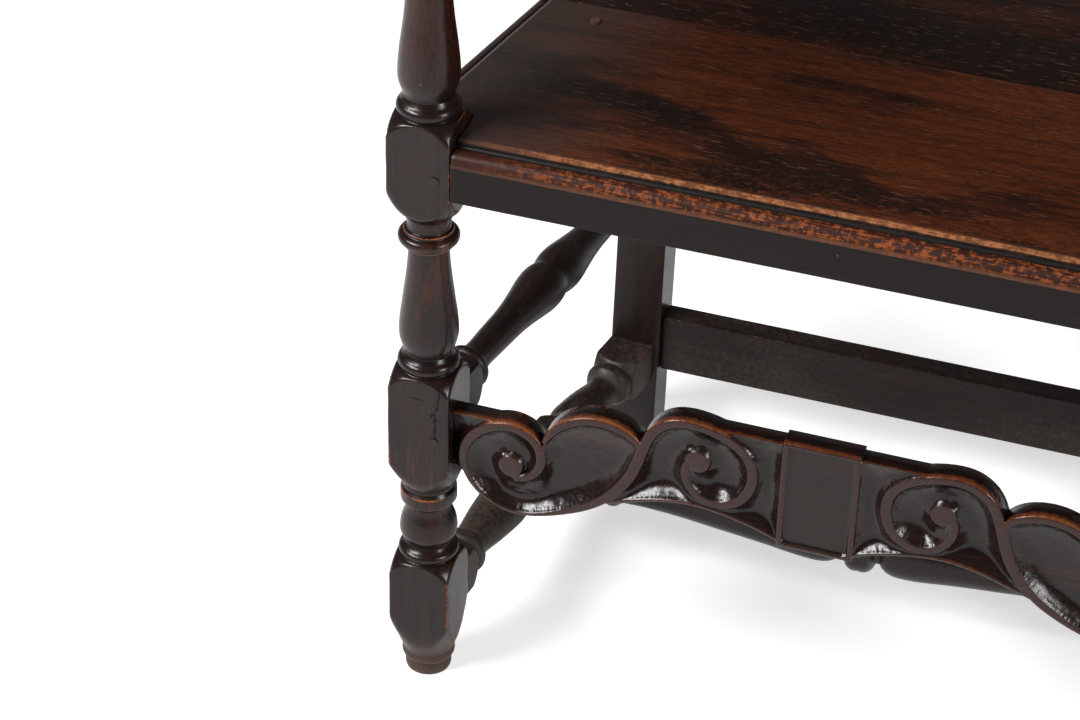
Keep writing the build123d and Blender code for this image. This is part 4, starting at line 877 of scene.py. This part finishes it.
def carved_stretcher():
    bm = bmesh.new()
    bm.from_mesh(NODES[CARVED].data)
    bmesh.ops.remove_doubles(bm, verts=bm.verts, dist=1e-6)
    bm.normal_update()
    front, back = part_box(CARVED)[0].y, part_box(CARVED)[1].y
    outlines = [resampled(loop[::-1], SPACING) for loop in plane_loops(bm, back, 1)]
    rims = [resampled(loop, SPACING) for loop in plane_loops(bm, front, -1)]
    bm.free()
    tree = node_tree(CARVED)
    outline_tree = tree_of(np.concatenate([resampled(loop, 0.2 * MM) for loop in outlines]))
    points, edges, everything = carved_mesh_points(tree, outlines, rims, outline_tree, front)
    flat, _, triangles, origins, _, _ = delaunay_2d_cdt(everything, edges, [], 1, 1e-7)
    flat = np.array([tuple(v) for v in flat])
    lines = np.concatenate([part[distances(outline_tree, part) > 0.4 * MM]
                            for part in (resampled(loop, 0.25 * MM) for loop in rims)])
    from_line, from_outline = distances(tree_of(lines), flat), distances(outline_tree, flat)
    from_rim = distances(tree_of(lines[np.abs(lines[:, 0]) > TABLET_HALF + 2.5 * MM]), flat)
    hits = front_hits(tree, flat, front - 0.01)
    low_ground = front + 2.5 * MM
    raised = (np.where(np.isnan(hits), False, hits < low_ground)) | (from_line < 0.15 * MM)
    for i in np.flatnonzero(np.isnan(hits) | (from_outline < 0.05 * MM)):
        near = np.array([[dx, dz] for dx in (-0.5, 0, 0.5) for dz in (-0.5, 0, 0.5)]) * MM + flat[i]
        around = front_hits(tree, near, front - 0.01)
        around = around[~np.isnan(around)]
        raised[i] = len(around) > 0 and around.min() < low_ground
    corners = np.array([tuple(triangle) for triangle in triangles])
    ends = np.unique(np.sort(np.concatenate([corners[:, [0, 1]], corners[:, [1, 2]], corners[:, [2, 0]]]),
                             axis=1), axis=0).T
    above = rim_above(tree, flat, front)
    depth = carved_depth(flat, ends, raised, from_line, from_rim, from_outline, above, 300)
    depth = np.minimum(depth, (back - front) * 0.6)
    vertices = np.stack([flat[:, 0], front + depth, flat[:, 1]], axis=1)
    faces = [tuple(triangle) for triangle in triangles]
    where = {source: i for i, sources in enumerate(origins) for source in sources}
    points_out, first, start = [vertices], len(vertices), 0
    for loop in outlines:
        count = len(loop)
        ring = [where[start + i] for i in range(count)]
        start += count
        last = np.stack([loop[:, 0], np.full(count, back), loop[:, 1]], axis=1)
        last[:, [0, 2]] -= outward(loop) * 0.4 * MM
        walls = [vertices[ring] + [0, deep, 0] for deep in (0.6 * MM, 2 * MM, 5 * MM)]
        walls += [np.stack([loop[:, 0], np.full(count, back - 0.5 * MM), loop[:, 1]], axis=1), last]
        points_out += walls
        rows = [ring] + [[first + k * count + i for i in range(count)] for k in range(len(walls))]
        first += len(walls) * count
        for a, b in zip(rows, rows[1:]):
            faces += [(a[i], b[i], b[(i + 1) % count], a[(i + 1) % count]) for i in range(count)]
        faces.append(tuple(rows[-1][::-1]))
    vertices = np.concatenate(points_out)
    material = oak("oak_carved", ALONG_X, 90, red=0.40, worn=0.35, gloss=0.13, shine=0.33,
                   tones=CARVED_TONES, relief=0.28, extra=carving_looks)
    piece = new_piece(f"{CARVED}_relief", vertices, faces, material, CARVED)
    normals = np.zeros(3 * len(vertices))
    piece.data.vertices.foreach_get("normal", normals)
    behind = (vertices[:, 1] - front)
    near_edge = np.ones(len(vertices))
    near_edge[:len(flat)] = 1 - step(from_outline, 1.8 * MM, 4 * MM)
    rub = step(normals[2::3], 0.15, 0.65) * (1 - step(behind, 1.5 * MM, 8 * MM)) * near_edge
    rim = np.zeros(len(vertices))
    rim[:len(raised)] = raised
    for name, values in (("rim", rim), ("rub", rub)):
        mark = piece.data.attributes.new(name, "FLOAT", "POINT")
        mark.data.foreach_set("value", values.astype(np.float32))


def pegs():
    dark = oak("oak_pegs", ALONG_Z, 95, red=0.3, worn=0.4)
    light = oak("oak_seat_pegs", ALONG_Z, 96, red=0.6, worn=0.9,
                tones=((0.0600, 0.0300, 0.0210, 1), (0.1100, 0.0560, 0.0380, 1), (0.1300, 0.0500, 0.0280, 1)))
    for node, piece in NODES.items():
        if node.endswith("pegs"):
            piece.data.materials.clear()
            piece.data.materials.append(light if node == "seat_board_pegs" else dark)


# ---------------------------------------------------------------------------------------------
# Stage
# ---------------------------------------------------------------------------------------------

PICTURE_WIDTH = 1080              # pixels
FOCAL_PIXELS = 3176.5
SENSOR = 36.0                     # millimetres
CAMERA_FROM_POST = Vector((631.5, -1700.4, 1566.2)) * MM     # from the left front post's foot
PAN, PITCH, ROLL = math.radians(17.917), math.radians(35.388), math.radians(1.468)


def camera():
    """Camera seen from the left front post; panned to the left, pitched down and rolled."""
    forward = Vector((-math.sin(PAN) * math.cos(PITCH), math.cos(PAN) * math.cos(PITCH), -math.sin(PITCH)))
    right = Vector((math.cos(PAN), math.sin(PAN), 0))
    above = right.cross(forward)
    x = right * math.cos(ROLL) + above * math.sin(ROLL)
    y = above * math.cos(ROLL) - right * math.sin(ROLL)
    data = bpy.data.cameras.new("camera")
    data.sensor_width = SENSOR
    data.lens = SENSOR * FOCAL_PIXELS / PICTURE_WIDTH
    shot = bpy.data.objects.new("camera", data)
    turn = Matrix((x, y, -forward)).transposed()
    shot.matrix_world = Matrix.Translation(post_axis("left", 0) + CAMERA_FROM_POST) @ turn.to_4x4()
    bpy.context.scene.collection.objects.link(shot)
    bpy.context.scene.camera = shot


def lamp(name, place, target, size, watts):
    data = bpy.data.lights.new(name, "AREA")
    data.shape = "RECTANGLE"
    data.size, data.size_y = size
    data.energy = watts
    light = bpy.data.objects.new(name, data)
    light.location = place
    light.rotation_euler = (Vector(target) - Vector(place)).to_track_quat("-Z", "Y").to_euler()
    bpy.context.scene.collection.objects.link(light)


def stage():
    floor = bpy.data.meshes.new("floor")
    half = 12.0
    floor.from_pydata([(-half, -half, 0), (half, -half, 0), (half, half, 0), (-half, half, 0)], [],
                      [(0, 1, 2, 3)])
    ground = bpy.data.objects.new("floor", floor)
    bpy.context.scene.collection.objects.link(ground)
    material = bpy.data.materials.new("floor")
    n = Nodes(material)
    n.shader.inputs["Base Color"].default_value = (0.82, 0.82, 0.82, 1)
    n.shader.inputs["Roughness"].default_value = 0.9
    n.shader.inputs["Specular IOR Level"].default_value = 0.0
    n.shader.inputs["Emission Color"].default_value = (1, 1, 1, 1)
    rays = n.node("ShaderNodeLightPath").outputs
    mirrored = n.math("MAXIMUM", rays["Is Glossy Ray"], rays["Is Transmission Ray"])
    seen = n.math("MULTIPLY", rays["Is Camera Ray"], 0.60)
    n.feed(n.shader.inputs["Emission Strength"], n.math("MULTIPLY_ADD", mirrored, 0.38, seen))
    floor.materials.append(material)
    world = bpy.data.worlds.new("world")
    bpy.context.scene.world = world
    world.use_nodes = True
    nodes, links = world.node_tree.nodes, world.node_tree.links
    background = nodes["Background"]
    path = nodes.new("ShaderNodeLightPath")
    strength = nodes.new("ShaderNodeMapRange")
    links.new(path.outputs["Is Camera Ray"], strength.inputs["Value"])
    strength.inputs["To Min"].default_value = 0.12
    strength.inputs["To Max"].default_value = 1.0
    background.inputs["Color"].default_value = (1, 1, 1, 1)
    links.new(strength.outputs["Result"], background.inputs["Strength"])
    lamp("key", (-1.75, -1.5, 1.9), (-0.05, -0.1, 0.3), (1.4, 0.6), 84)
    lamp("fill", (2.0, -0.95, 1.15), (0, -0.1, 0.3), (0.6, 0.9), 32)


def main():
    bpy.context.scene.view_settings.view_transform = "Standard"
    camera()
    stage()
    front_posts()
    side_stretchers()
    medial_stretcher()
    sawn_pieces()
    seat_boards()
    carved_stretcher()
    pegs()


main()
